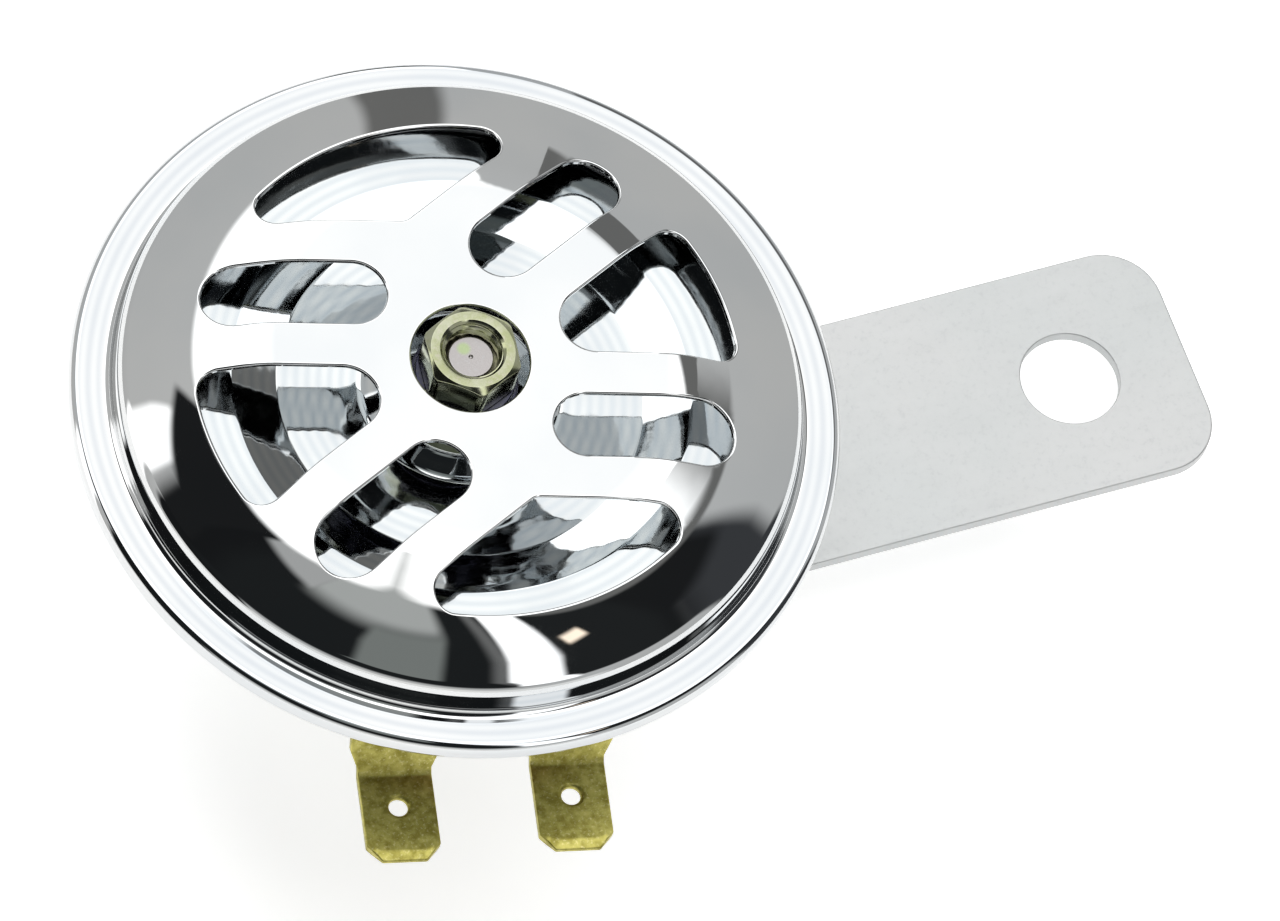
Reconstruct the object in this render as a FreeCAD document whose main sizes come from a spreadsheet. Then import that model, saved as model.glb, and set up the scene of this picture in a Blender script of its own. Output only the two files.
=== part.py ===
import FreeCAD, Part
import math
import os
import re
import Sketcher

# Small electric car horn: a pressed grille cover rolled over a drawn shell, with the coil, the diaphragm and
# the contact breaker inside, two spade terminals and a flat mounting bracket.
# The origin is the centre of the bracket's hole on its rear face. +X runs from the horn's axis to that hole,
# and +Z runs along the horn's axis to the grille. Lengths are in millimetres and angles in degrees.

sizes = {
    # mounting bracket
    "mount_reach": 60.7,  # horn's axis to the bracket's hole
    "bracket_width": 21.4,
    "bracket_thickness": 1.2,
    "bracket_end": 10.6,  # the hole's centre to the free end
    "bracket_corner": 5.0,
    "mount_hole": 4.3,
    # shell
    "shell_sheet": 0.8,
    "shell_bend": 0.8,  # inside radius of its bends
    "pan_floor": 10.8,  # the width of the flat floor between the cup and the pan's wall
    "cup_depth": 19.0,
    "pan_margin": 4.2,  # the cover's edge to the pan's wall
    "pan_depth": 5.9,
    # clamped edge
    "gasket_thickness": 0.1,
    "diaphragm_sheet": 0.2,
    "diaphragm_bead": 0.5,
    "bead_width": 8.0,
    "bead_margin": 9.1,  # the clamped ring to the bead
    # grille cover
    "cover_radius": 32.5,
    "cover_sheet": 0.5,
    "hem_bend": 0.3,
    "hem_width": 2.4,
    "shoulder_margin": 3.7,  # the cover's edge to the shoulder's corner
    "foot_bend": 0.7,
    "wall_slope": 84.0,
    "wall_height": 3.02,
    "shoulder_bend": 1.6,
    "skirt_slope": 29.8,
    "skirt_height": 2.41,
    "skirt_bend": 36.0,
    "cone_slope": 19.5,
    "cone_bend": 9.4,
    "dome_height": 7.9,
    "hub_hole": 5.0,
    # sound openings
    "grille_turn": 2.9,
    "slot_slant": 20.0,
    "slot_margin": 9.45,  # the cover's edge to the openings
    "wedge_corner": 1.8,
    "crescent_corner": 1.9,
    "wedge_apex": 2.75,  # where the wedge opening's sides would meet
    "wedge_end": 3.0,
    "inner_rib": 4.0,
    "slot_width": 5.85,
    "slot_start": 11.3,  # the axis to the centre of the slot's inner end
    "outer_rib": 3.96,
    # tone disc
    "tone_margin": 1.15,  # the openings' reach to the disc's edge
    "tone_sheet": 1.0,
    "tone_setback": 4.9,  # the plateau to the disc's outer band
    "tone_step": 1.0,  # the outer band over the ring
    "band_width": 4.8,
    "step_width": 4.0,
    "tone_rise": 0.2,  # the hub over the outer band
    "tone_hub": 6.8,
    "tone_slope": 1.6,
    # hub stack
    "stud_radius": 2.5,
    "stud_tip": 1.85,
    "stud_clearance": 0.1,
    "stud_drop": 1.3,  # the stud's end below the nut's top
    "spacer_radius": 5.0,
    "hub_washer_radius": 4.6,
    "hub_washer_thickness": 1.0,
    "hub_lock_radius": 4.3,
    "hub_lock_thickness": 1.2,
    "washer_split": 0.7,
    "hub_nut_flats": 7.5,
    "hub_nut_height": 4.0,
    "hub_nut_turn": 22.0,
    "thread_clearance": 0.05,
    "nut_mouth": 0.25,
    "nut_crown": 0.2,  # the face's ring inside the flats
    "crown_slope": 30.0,
    # magnet
    "air_gap": 1.0,
    "armature_inset": 0.2,  # inside the core's edge
    "armature_length": 8.2,
    "collar_margin": 1.9,
    "collar_thickness": 0.8,
    "collar_gap": 0.3,
    "clamp_chamfer": 0.8,
    "coil_depth": 8.5,  # the bobbin's edge to the core
    "bore_clearance": 0.2,
    "bobbin_wall": 0.8,
    "bobbin_clearance": 0.9,
    "bobbin_flange": 1.0,
    "bobbin_lift": 0.2,
    "winding_inset": 1.2,  # inside the bobbin's edge
    "winding_crown": 0.8,
    "lead_radius": 0.35,
    "lead_bend": 1.0,
    "lead_inset": 1.0,  # inside the winding's edge
    "lead_side": 2.0,  # beside the arm that it runs to
    # rear fixing
    "tail_radius": 3.0,
    "tail_clearance": 0.15,
    "tail_overrun": 1.2,
    "tail_chamfer": 0.6,
    "rear_lock_radius": 5.4,
    "rear_lock_thickness": 1.5,
    "rear_lock_turn": 90.0,
    "rear_nut_flats": 10.0,
    "rear_nut_height": 5.0,
    # terminals
    "terminal_turn": -101.8,
    "terminal_yaw": -1.6,  # how far each terminal is turned on its rivet
    "rivet_setback": 4.9,  # the pan's wall to the rivets' circle
    "rivet_bearing": 18.3,
    "terminal_sheet": 0.8,
    "terminal_bend": 0.4,
    "shoulder_width": 7.7,
    "blade_width": 6.3,
    "blade_length": 8.3,
    "leg_clearance": 0.46,  # the rivet's head to the leg
    "leg_drop": 4.2,
    "leg_slope": 60.0,
    "foot_margin": 2.9,
    "shoulder_cut": 0.9,
    "tip_cut": 1.25,
    "tip_cut_length": 1.4,
    "tip_bevel": 0.22,
    "tip_bevel_length": 0.9,
    "blade_hole": 0.8,
    "blade_hole_setback": 5.0,  # the hole's centre to the blade's tip
    "blade_dimple": 0.35,
    # insulation and rivets
    "plate_thickness": 1.0,
    "plate_inward": 4.8,  # from the rivets' circle
    "plate_outward": 3.2,
    "plate_bearing": 30.0,
    "sleeve_wall": 0.6,
    "sleeve_clearance": 0.1,
    "rivet_radius": 1.4,
    "rivet_clearance": 0.05,
    "rivet_head": 2.3,
    "rivet_head_height": 0.8,
    "rivet_chamfer": 0.3,
    "pad_thickness": 0.8,
    "pad_width": 7.0,
    "pad_inward": 4.4,  # from the rivets' circle
    "pad_outward": 2.6,
    "strip_corner": 1.0,
    # contact breaker
    "tag_thickness": 0.4,
    "tag_width": 5.0,
    "arm_width": 5.4,
    "spring_thickness": 0.3,
    "spring_clearance": 0.6,  # the armature to the spring's end
    "contact_radius": 1.5,
    "contact_height": 0.5,
    "contact_setback": 4.3,  # the spring's end to the contacts
    "bracket_arm": 0.8,
    "bracket_arm_overrun": 1.8,  # past the contacts
    "wing_setback": 3.1,  # the rivets' circle to the adjusting screw
    "wing_width": 4.4,
    "wing_reach": 8.2,
    "top_pad_radius": 2.6,
    "top_pad_thickness": 0.6,
    "adjuster_radius": 1.5,
    "adjuster_clearance": 0.2,
    "adjuster_flats": 5.5,
    "adjuster_nut_height": 2.4,
    "adjuster_tail": 1.6,
    "adjuster_chamfer": 0.2,
    "adjuster_slot": 0.6,
    "adjuster_slot_depth": 0.8,
    "cap_thickness": 0.8,
    "cutting_margin": 0.5,  # how far a cutting outline passes the metal
}

# Places worked out from the sizes, named like them in every expression below.
places = {
    "shell_back": "bracket_thickness",
    "pan_radius": "cover_radius - pan_margin",
    "cup_radius": "pan_radius - pan_floor",
    "slot_reach": "cover_radius - slot_margin",
    "tone_radius": "slot_reach + tone_margin",
    "step_outer": "tone_radius - band_width",
    "step_inner": "step_outer - step_width",
    "pan_back": "shell_back + cup_depth",
    "flange_back": "pan_back + pan_depth",
    "flange_front": "flange_back + shell_sheet",
    "diaphragm_back": "flange_front + gasket_thickness",
    "diaphragm_front": "diaphragm_back + diaphragm_sheet",
    "cover_seat": "diaphragm_front + gasket_thickness",
    "flange_face": "cover_seat + cover_sheet",
    "plateau_face": "flange_face + dome_height",
    "hem_back": "flange_back - cover_sheet",
    "stack_radius": "cover_radius - cover_sheet - hem_bend",
    "stack_inner": "pan_radius + shell_bend",
    "bead_outer": "stack_inner - bead_margin",
    "bead_inner": "bead_outer - bead_width",
    "shoulder_corner": "cover_radius - shoulder_margin",
    "shoulder_face": "flange_face + wall_height",
    "foot_corner": "shoulder_corner + wall_height / tan(wall_slope)",
    "skirt_face": "shoulder_face + skirt_height",
    "skirt_corner": "shoulder_corner - skirt_height / tan(skirt_slope)",
    "cone_corner": "skirt_corner - (plateau_face - skirt_face) / tan(cone_slope)",
    "wedge_side": "wedge_apex * sin(slot_slant)",
    "slot_low": "inner_rib - wedge_side",
    "slot_middle": "slot_low + slot_width / 2",
    "slot_high": "slot_low + slot_width",
    "crescent_side": "slot_high + outer_rib",
    "band_front": "plateau_face - tone_setback",
    "annulus_front": "band_front - tone_step",
    "tone_hub_front": "band_front + tone_rise",
    "tone_hub_back": "tone_hub_front - tone_sheet",
    "hub_lock_back": "tone_hub_front + hub_washer_thickness",
    "hub_nut_back": "hub_lock_back + hub_lock_thickness",
    "stud_end": "hub_nut_back + hub_nut_height - stud_drop",
    "stud_bore": "stud_radius + stud_clearance",
    "armature_back": "diaphragm_back - armature_length",
    "core_front": "armature_back - air_gap",
    "floor_front": "shell_back + shell_sheet",
    "bobbin_bore": "core_radius + bore_clearance",
    "bobbin_tube": "bobbin_bore + bobbin_wall",
    "bobbin_radius": "cup_radius - shell_sheet - bobbin_clearance",
    "winding_radius": "bobbin_radius - winding_inset",
    "core_radius": "bobbin_radius - coil_depth",
    "armature_radius": "core_radius - armature_inset",
    "collar_radius": "armature_radius + collar_margin",
    "bobbin_back": "floor_front + bobbin_lift",
    "bobbin_front": "pan_back - bobbin_flange",
    "winding_back": "bobbin_back + bobbin_flange",
    "winding_front": "bobbin_front - bobbin_flange",
    "tail_bore": "tail_radius + tail_clearance",
    "rear_nut_back": "-rear_lock_thickness - rear_nut_height",
    "pad_back": "pan_back + shell_sheet",
    "pad_front": "pad_back + pad_thickness",
    "tag_front": "pad_front + tag_thickness",
    "spring_front": "pad_front + spring_thickness",
    "arm_back": "spring_front + 2 * contact_height",
    "arm_front": "arm_back + bracket_arm",
    "top_pad_front": "arm_front + top_pad_thickness",
    "collar_back": "spring_front + collar_gap",
    "foot_front": "pan_back - plate_thickness",
    "foot_back": "foot_front - terminal_sheet",
    "blade_front": "foot_front - leg_drop",
    "blade_back": "blade_front - terminal_sheet",
    "rivet_circle": "pan_radius - rivet_setback",
    "pad_inner": "rivet_circle - pad_inward",
    "pad_outer": "rivet_circle + pad_outward",
    "plate_inner": "rivet_circle - plate_inward",
    "plate_outer": "rivet_circle + plate_outward",
    "spring_tip": "armature_radius + spring_clearance",
    "contact_place": "spring_tip + contact_setback",
    "bracket_arm_tip": "contact_place - bracket_arm_overrun",
    "wing_place": "rivet_circle - wing_setback",
    "rivet_reach": "rivet_circle * cos(rivet_bearing)",
    "rivet_offset": "rivet_circle * sin(rivet_bearing)",
    "foot_start": "rivet_reach - foot_margin",
    "leg_start": "rivet_reach + rivet_head + leg_clearance",
    "blade_bend_reach": "leg_start + leg_drop / tan(leg_slope)",
    "bend_shift": "terminal_sheet / 2 * tan(leg_slope / 2)",
    "blade_tip": "blade_bend_reach + blade_length",
    "rivet_bore": "rivet_radius + rivet_clearance",
    "sleeve_radius": "rivet_bore + sleeve_wall",
    "sleeve_hole": "sleeve_radius + sleeve_clearance",
    "adjuster_hole": "adjuster_radius + adjuster_clearance",
    "cap_back": "arm_back - cap_thickness",
    "adjuster_nut_back": "pan_back - adjuster_nut_height",
    "adjuster_back": "adjuster_nut_back - adjuster_tail",
    "tail_end": "rear_nut_back - tail_overrun",
    "lead_circle": "winding_radius - lead_inset",
    "lead_offset": "arm_width / 2 + lead_side",
}

near = 1e-3  # how close two places or volumes count as the same

doc = FreeCAD.newDocument("car_horn")
sheet = doc.addObject("Spreadsheet::Sheet", "Sizes")
for row, (name, number) in enumerate(sizes.items(), 1):
    sheet.set("A%d" % row, name)
    sheet.set("B%d" % row, str(number))
    sheet.setAlias("B%d" % row, name)
doc.recompute()

pieces = []


def spelled(text):
    """The expression with each place worked out and each size read from its cell."""

    def word(match):
        name = match.group(0)
        if name in places:
            return "(" + spelled(places[name]) + ")"
        if name in sizes:
            return "Sizes." + name
        return name

    return re.sub(r"[A-Za-z_]\w*", word, text)


def worth(text):
    """The expression's value now."""
    return float(sheet.evalExpression(spelled(text)))


def bind(item, path, text):
    item.setExpression(path, spelled(text))


def new_body(name):
    body = doc.addObject("PartDesign::Body", name)
    body.Label = name
    pieces.append(body)
    return body


def place(item, along="0", across="0", height="0", turn="0"):
    """Puts a piece on the horn's axis, turned, and then moved along and across the way that it faces."""
    item.Placement = FreeCAD.Placement(FreeCAD.Vector(), FreeCAD.Rotation(FreeCAD.Vector(0, 0, 1), 1))
    bind(item, "Placement.Base.x", f"({along}) * cos({turn}) - ({across}) * sin({turn}) - mount_reach")
    bind(item, "Placement.Base.y", f"({along}) * sin({turn}) + ({across}) * cos({turn})")
    bind(item, "Placement.Base.z", height)
    bind(item, "Placement.Rotation.Angle", turn)


def sketch_on(body, plane, name):
    """A sketch on one of the body's own origin planes."""
    sketch = body.newObject("Sketcher::SketchObject", name)
    face = next(item for item in body.Origin.OriginFeatures if item.Role == plane)
    sketch.AttachmentSupport = [(face, "")]
    sketch.MapMode = "FlatFace"
    return sketch


def hold(sketch, kind, item, point, text):
    """A dimension of the sketch, bound to the sheet."""
    where = (item,) if point is None else (item, point)
    index = sketch.addConstraint(Sketcher.Constraint(kind, *where, worth(text)))
    bind(sketch, "Constraints[%d]" % index, text)


def draw(sketch, corners, arcs=None):
    """A closed outline. A stretch named in arcs bends at that radius, to the left if its turn is 1."""
    arcs = arcs or {}
    spots = [FreeCAD.Vector(worth(across), worth(up), 0) for across, up in corners]
    ends = []
    for i, start in enumerate(spots):
        end = spots[(i + 1) % len(spots)]
        if i not in arcs:
            ends.append((sketch.addGeometry(Part.LineSegment(start, end), False), 1, 2))
            continue
        radius, turn = arcs[i]
        chord = end - start
        rise = math.sqrt(max(worth(radius) ** 2 - (chord.Length / 2) ** 2, 0))
        left = FreeCAD.Vector(-chord.y, chord.x, 0).normalize()
        centre = (start + end) * 0.5 + left * (rise * turn)
        angles = [math.atan2(spot.y - centre.y, spot.x - centre.x) for spot in (start, end)][::turn]
        if angles[1] < angles[0]:
            angles[1] += 2 * math.pi
        circle = Part.Circle(centre, FreeCAD.Vector(0, 0, 1), worth(radius))
        item = sketch.addGeometry(Part.ArcOfCircle(circle, *angles), False)
        hold(sketch, "Radius", item, None, radius)
        ends.append((item, 1, 2) if turn == 1 else (item, 2, 1))
    for i, (item, first, last) in enumerate(ends):
        follower = ends[(i + 1) % len(ends)]
        sketch.addConstraint(Sketcher.Constraint("Coincident", item, last, follower[0], follower[1]))
        hold(sketch, "DistanceX", item, first, corners[i][0])
        hold(sketch, "DistanceY", item, first, corners[i][1])


def draw_circle(sketch, radius, across="0", up="0"):
    centre = FreeCAD.Vector(worth(across), worth(up), 0)
    circle = Part.Circle(centre, FreeCAD.Vector(0, 0, 1), worth(radius))
    item = sketch.addGeometry(circle, False)
    hold(sketch, "Radius", item, None, radius)
    hold(sketch, "DistanceX", item, 3, across)
    hold(sketch, "DistanceY", item, 3, up)


def tip(body, feature):
    body.Tip = feature
    doc.recompute()
    if "Invalid" in feature.State:
        raise ValueError(feature.Label + ": " + feature.getStatusString())
    return feature


def pad(body, sketch, length, symmetric=False):
    feature = body.newObject("PartDesign::Pad", body.Name + "_pad")
    feature.Profile = sketch
    if symmetric:
        feature.SideType = "Symmetric"
    bind(feature, "Length", length)
    return tip(body, feature)


def cut_through(body, sketch, depth=None):
    """Cuts the sketch's shapes right through the piece, or to a depth on both sides of its plane."""
    before = body.Shape.Volume
    feature = body.newObject("PartDesign::Pocket", body.Name + "_pocket")
    feature.Profile = sketch
    feature.SideType = "Symmetric"
    if depth is None:
        feature.Type = "ThroughAll"
    else:
        bind(feature, "Length", "2 * (" + depth + ")")
    tip(body, feature)
    if body.Shape.Volume > before - near:
        raise ValueError(sketch.Label + " cuts nothing")
    return feature


def turned(name, corners, arcs=None):
    """A piece turned about the horn's axis, from its half section: radius, height."""
    body = new_body(name)
    sketch = sketch_on(body, "XZ_Plane", name + "_section")
    draw(sketch, corners, arcs)
    feature = body.newObject("PartDesign::Revolution", name + "_turn")
    feature.Profile = sketch
    feature.ReferenceAxis = (sketch, ["V_Axis"])
    feature.Angle = 360
    tip(body, feature)
    return body


def round_rings(body, rings, radius):
    """Rounds the round edges at the given radius and height."""
    wanted = [(worth(across), worth(up)) for across, up in rings]
    names = []
    for number, edge in enumerate(body.Shape.Edges, 1):
        if not isinstance(edge.Curve, Part.Circle):
            continue
        found = (edge.Curve.Radius, edge.Curve.Center.z)
        if any(math.dist(found, ring) < near for ring in wanted):
            names.append("Edge%d" % number)
    round_edges(body, names, radius)


def round_edges(body, names, radius):
    base = body.Tip
    feature = body.newObject("PartDesign::Fillet", body.Name + "_round")
    feature.Base = (base, names)
    bind(feature, "Radius", radius)
    tip(body, feature)


def straight_edges(body, spots, along):
    """The names of the straight edges that run along Y or Z through the given places."""
    wanted = [(worth(across), worth(up)) for across, up in spots]
    names = []
    for number, edge in enumerate(body.Shape.Edges, 1):
        if not isinstance(edge.Curve, Part.Line) or len(edge.Vertexes) != 2:
            continue
        low, high = (vertex.Point for vertex in edge.Vertexes)
        ends = [(spot.x, spot.z if along == "Y" else spot.y) for spot in (low, high)]
        if math.dist(*ends) < near and any(math.dist(ends[0], spot) < near for spot in wanted):
            names.append("Edge%d" % number)
    return names


def ring(name, outer, inner, thickness, height, turn="0"):
    body = new_body(name)
    sketch = sketch_on(body, "XY_Plane", name + "_outline")
    draw_circle(sketch, outer)
    draw_circle(sketch, inner)
    pad(body, sketch, thickness)
    place(body, height=height, turn=turn)
    return body


def split_ring(name, outer, inner, thickness, height, turn):
    """A spring lock washer, pressed flat, with its split."""
    body = ring(name, outer, inner, thickness, height, turn)
    sketch = sketch_on(body, "XY_Plane", name + "_split")
    half, past = "washer_split / 2", outer + " + cutting_margin"
    draw(sketch, [("0", "-" + half), (past, "-" + half), (past, half), ("0", half)])
    cut_through(body, sketch)
    return body


def hex_nut(name, flats, height, bore, back, turn="0", along="0", across="0"):
    """A hexagon nut with both faces turned to a crown and both mouths of its bore countersunk."""
    body = new_body(name)
    corner = f"({flats}) / sqrt(3)"
    outline = sketch_on(body, "XY_Plane", name + "_hexagon")
    draw(outline, [(f"{corner} * cos({60 * i})", f"{corner} * sin({60 * i})") for i in range(6)])
    draw_circle(outline, bore)
    pad(body, outline, height)
    crown = f"({flats}) / 2 - nut_crown"
    past = corner + " + cutting_margin"
    inside = f"({bore}) - cutting_margin"
    section = sketch_on(body, "XZ_Plane", name + "_crown")
    for face, inward in (("0", "+"), (height, "-")):
        lower = f"{face} {inward} ({past} - ({crown})) * tan(crown_slope)"
        deeper = f"{face} {inward} (nut_mouth + cutting_margin)"
        draw(section, [(crown, face), (past, face), (past, lower)])
        draw(section, [(inside, face), (f"({bore}) + nut_mouth", face), (inside, deeper)])
    before = body.Shape.Volume
    groove = body.newObject("PartDesign::Groove", name + "_groove")
    groove.Profile = section
    groove.ReferenceAxis = (section, ["V_Axis"])
    groove.Angle = 360
    tip(body, groove)
    if body.Shape.Volume > before - near:
        raise ValueError(name + " has no crown")
    place(body, along, across, back, turn)
    return body


def mounting_bracket():
    body = new_body("mounting_bracket")
    outline = sketch_on(body, "XY_Plane", "bracket_outline")
    half = "bracket_width / 2"
    ends = [("bracket_end", "-" + half), ("bracket_end", half)]
    draw(outline, [("-mount_reach", "-" + half)] + ends + [("-mount_reach", half)])
    pad(body, outline, "bracket_thickness")
    round_edges(body, straight_edges(body, ends, "Z"), "bracket_corner")
    seat = sketch_on(body, "XY_Plane", "bracket_seat")
    draw_circle(seat, half, "-mount_reach")
    pad(body, seat, "bracket_thickness")
    holes = sketch_on(body, "XY_Plane", "bracket_holes")
    draw_circle(holes, "mount_hole")
    draw_circle(holes, "tail_bore", "-mount_reach")
    cut_through(body, holes)


def body_shell():
    rings = [
        ("tail_bore", "shell_back"),
        ("cup_radius", "shell_back"),
        ("cup_radius", "pan_back"),
        ("pan_radius", "pan_back"),
        ("pan_radius", "flange_back"),
        ("stack_radius", "flange_back"),
        ("stack_radius", "flange_front"),
        ("pan_radius - shell_sheet", "flange_front"),
        ("pan_radius - shell_sheet", "pad_back"),
        ("cup_radius - shell_sheet", "pad_back"),
        ("cup_radius - shell_sheet", "floor_front"),
        ("tail_bore", "floor_front"),
    ]
    body = turned("body_shell", rings)
    round_rings(body, [rings[1], rings[3], rings[7], rings[9]], "shell_bend + shell_sheet")
    round_rings(body, [rings[2], rings[4], rings[8], rings[10]], "shell_bend")
    holes = sketch_on(body, "XY_Plane", "shell_holes")
    for bearing in ("-rivet_bearing", "rivet_bearing"):
        draw_circle(holes, "sleeve_hole", *polar("rivet_circle", "terminal_turn + " + bearing))
    draw_circle(holes, "adjuster_hole", *wing_spot())
    cut_through(body, holes)
    place(body)


def polar(radius, angle):
    return (f"({radius}) * cos({angle})", f"({radius}) * sin({angle})")


def wing_spot():
    """The adjusting screw's place from the horn's axis, beside the contact arm."""
    turn = "terminal_turn + rivet_bearing"
    return (
        f"wing_place * cos({turn}) - wing_reach * sin({turn})",
        f"wing_place * sin({turn}) + wing_reach * cos({turn})",
    )


def pole_core():
    body = turned(
        "pole_core",
        [
            ("0", "tail_end"),
            ("tail_radius - tail_chamfer", "tail_end"),
            ("tail_radius", "tail_end + tail_chamfer"),
            ("tail_radius", "floor_front"),
            ("core_radius", "floor_front"),
            ("core_radius", "core_front"),
            ("0", "core_front"),
        ],
    )
    place(body)


def coil_bobbin():
    body = turned(
        "coil_bobbin",
        [
            ("bobbin_bore", "bobbin_back"),
            ("bobbin_radius", "bobbin_back"),
            ("bobbin_radius", "winding_back"),
            ("bobbin_tube", "winding_back"),
            ("bobbin_tube", "winding_front"),
            ("bobbin_radius", "winding_front"),
            ("bobbin_radius", "bobbin_front"),
            ("bobbin_bore", "bobbin_front"),
        ],
    )
    place(body)


def coil_winding():
    """The wound wire, a little fuller at mid height."""
    body = turned(
        "coil_winding",
        [
            ("bobbin_tube", "winding_back"),
            ("winding_radius - winding_crown", "winding_back"),
            ("winding_radius", "winding_back + winding_crown"),
            ("winding_radius", "winding_front - winding_crown"),
            ("winding_radius - winding_crown", "winding_front"),
            ("bobbin_tube", "winding_front"),
        ],
    )
    place(body)


def coil_lead(name, rise, run, across, turn, swing):
    """A wire that comes up out of the bobbin, bends over and lies on what it is soldered to."""
    body = new_body(name)
    path = sketch_on(body, "XZ_Plane", name + "_path")
    radius, top = worth("lead_bend"), worth(rise)
    spots = [(0, 0), (0, top - radius), (radius, top), (worth(run), top)]
    spots = [FreeCAD.Vector(x, y, 0) for x, y in spots]
    bend = Part.Circle(FreeCAD.Vector(radius, top - radius, 0), FreeCAD.Vector(0, 0, 1), radius)
    up = path.addGeometry(Part.LineSegment(spots[0], spots[1]), False)
    over = path.addGeometry(Part.ArcOfCircle(bend, math.pi / 2, math.pi), False)
    away = path.addGeometry(Part.LineSegment(spots[2], spots[3]), False)
    path.addConstraint(Sketcher.Constraint("Coincident", up, 1, -1, 1))
    path.addConstraint(Sketcher.Constraint("Vertical", up))
    path.addConstraint(Sketcher.Constraint("Horizontal", away))
    path.addConstraint(Sketcher.Constraint("Tangent", up, 2, over, 2))
    path.addConstraint(Sketcher.Constraint("Tangent", over, 1, away, 1))
    hold(path, "Radius", over, None, "lead_bend")
    hold(path, "DistanceY", away, 2, rise)
    hold(path, "DistanceX", away, 2, run)
    wire = sketch_on(body, "XY_Plane", name + "_wire")
    draw_circle(wire, "lead_radius")
    pipe = body.newObject("PartDesign::AdditivePipe", name + "_pipe")
    pipe.Profile = wire
    pipe.Spine = (path, ["Edge1", "Edge2", "Edge3"])
    tip(body, pipe)
    place(body, "lead_circle", across, "bobbin_front", turn)
    bind(body, "Placement.Rotation.Angle", f"{turn} + {swing}")


def coil_leads():
    """One runs out to the solder tag, and the other sideways onto the stiff arm."""
    outwards = ("tag_front + lead_radius - bobbin_front", "rivet_circle - rivet_head - lead_circle")
    coil_lead("coil_lead_left", *outwards, "0", "terminal_turn - rivet_bearing", "0")
    sideways = ("arm_front + lead_radius - bobbin_front", "lead_offset")
    coil_lead("coil_lead_right", *sideways, "-lead_offset", "terminal_turn + rivet_bearing", "90")


def armature():
    body = turned(
        "armature",
        [
            ("0", "armature_back"),
            ("armature_radius", "armature_back"),
            ("armature_radius", "collar_back"),
            ("collar_radius", "collar_back"),
            ("collar_radius", "collar_back + collar_thickness"),
            ("armature_radius", "collar_back + collar_thickness"),
            ("armature_radius", "diaphragm_back - clamp_chamfer"),
            ("armature_radius - clamp_chamfer", "diaphragm_back"),
            ("stud_radius", "diaphragm_back"),
            ("stud_radius", "stud_end - (stud_radius - stud_tip)"),
            ("stud_tip", "stud_end"),
            ("0", "stud_end"),
        ],
    )
    place(body)


def diaphragm():
    """A thin spring disc, with one shallow pressed bead round its middle."""
    steps = [
        ("stud_bore", "0"),
        ("bead_inner", "0"),
        ("bead_inner + diaphragm_bead", "diaphragm_bead"),
        ("bead_outer - diaphragm_bead", "diaphragm_bead"),
        ("bead_outer", "0"),
        ("stack_radius", "0"),
    ]
    back = [(across, f"diaphragm_back - {drop}") for across, drop in steps]
    front = [(across, f"diaphragm_front - {drop}") for across, drop in reversed(steps)]
    body = turned("diaphragm", back + front)
    place(body)


def tone_disc():
    """The pressed disc behind the grille: a hub, a lower flat ring, a rising step and a flat outer band."""
    front = [
        ("stud_bore", "tone_hub_front"),
        ("tone_hub", "tone_hub_front"),
        ("tone_hub + tone_slope", "annulus_front"),
        ("step_inner", "annulus_front"),
        ("step_outer", "band_front"),
        ("tone_radius", "band_front"),
    ]
    back = [(across, up + " - tone_sheet") for across, up in reversed(front)]
    body = turned("tone_disc", front + back)
    place(body)


def slanted(along, offset):
    """A spot along a line turned by the openings' slant, and the given distance to its left."""
    return (
        f"({along}) * cos(slot_slant) - ({offset}) * sin(slot_slant)",
        f"({along}) * sin(slot_slant) + ({offset}) * cos(slot_slant)",
    )


def mirrored(spot, across=1, up=1):
    return (f"{across} * ({spot[0]})", f"{up} * ({spot[1]})")


def corner_spots(offset, way, corner):
    """Where the rounded corner between a slanted side and the outer arc leaves each of them."""
    reach = f"(slot_reach - {corner})"
    centre = f"({offset} {way} {corner})"
    along = f"sqrt({reach} ^ 2 - {centre} ^ 2)"
    outward = f"slot_reach / {reach}"
    return slanted(along, offset), slanted(f"{along} * {outward}", f"{centre} * {outward}")


def wedge_openings(sketch):
    """The two openings that widen outwards, on the pattern's first axis."""
    start = slanted("(wedge_apex + wedge_end / sin(slot_slant)) * cos(slot_slant)", "-wedge_side")
    side, rim = corner_spots("-wedge_side", "-", "wedge_corner")
    half = [start, side, rim]
    spots = [mirrored(spot, up=-1) for spot in half] + half[::-1]
    arcs = {1: ("wedge_corner", 1), 2: ("slot_reach", 1), 3: ("wedge_corner", 1), 5: ("wedge_end", 1)}
    for way in (1, -1):
        draw(sketch, [mirrored(spot, way, way) for spot in spots], arcs)


def parallel_openings(sketch):
    """The four straight slots with round ends."""
    first = "sqrt(slot_start ^ 2 - slot_middle ^ 2)"
    last = "sqrt((slot_reach - slot_width / 2) ^ 2 - slot_middle ^ 2)"
    spots = [
        slanted(first, "slot_low"),
        slanted(last, "slot_low"),
        slanted(last + " + slot_width / 2", "slot_middle"),
        slanted(last, "slot_high"),
        slanted(first, "slot_high"),
        slanted(first + " - slot_width / 2", "slot_middle"),
    ]
    for across in (1, -1):
        for up in (1, -1):
            arcs = {i: ("slot_width / 2", across * up) for i in (1, 2, 4, 5)}
            draw(sketch, [mirrored(spot, across, up) for spot in spots], arcs)


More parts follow.
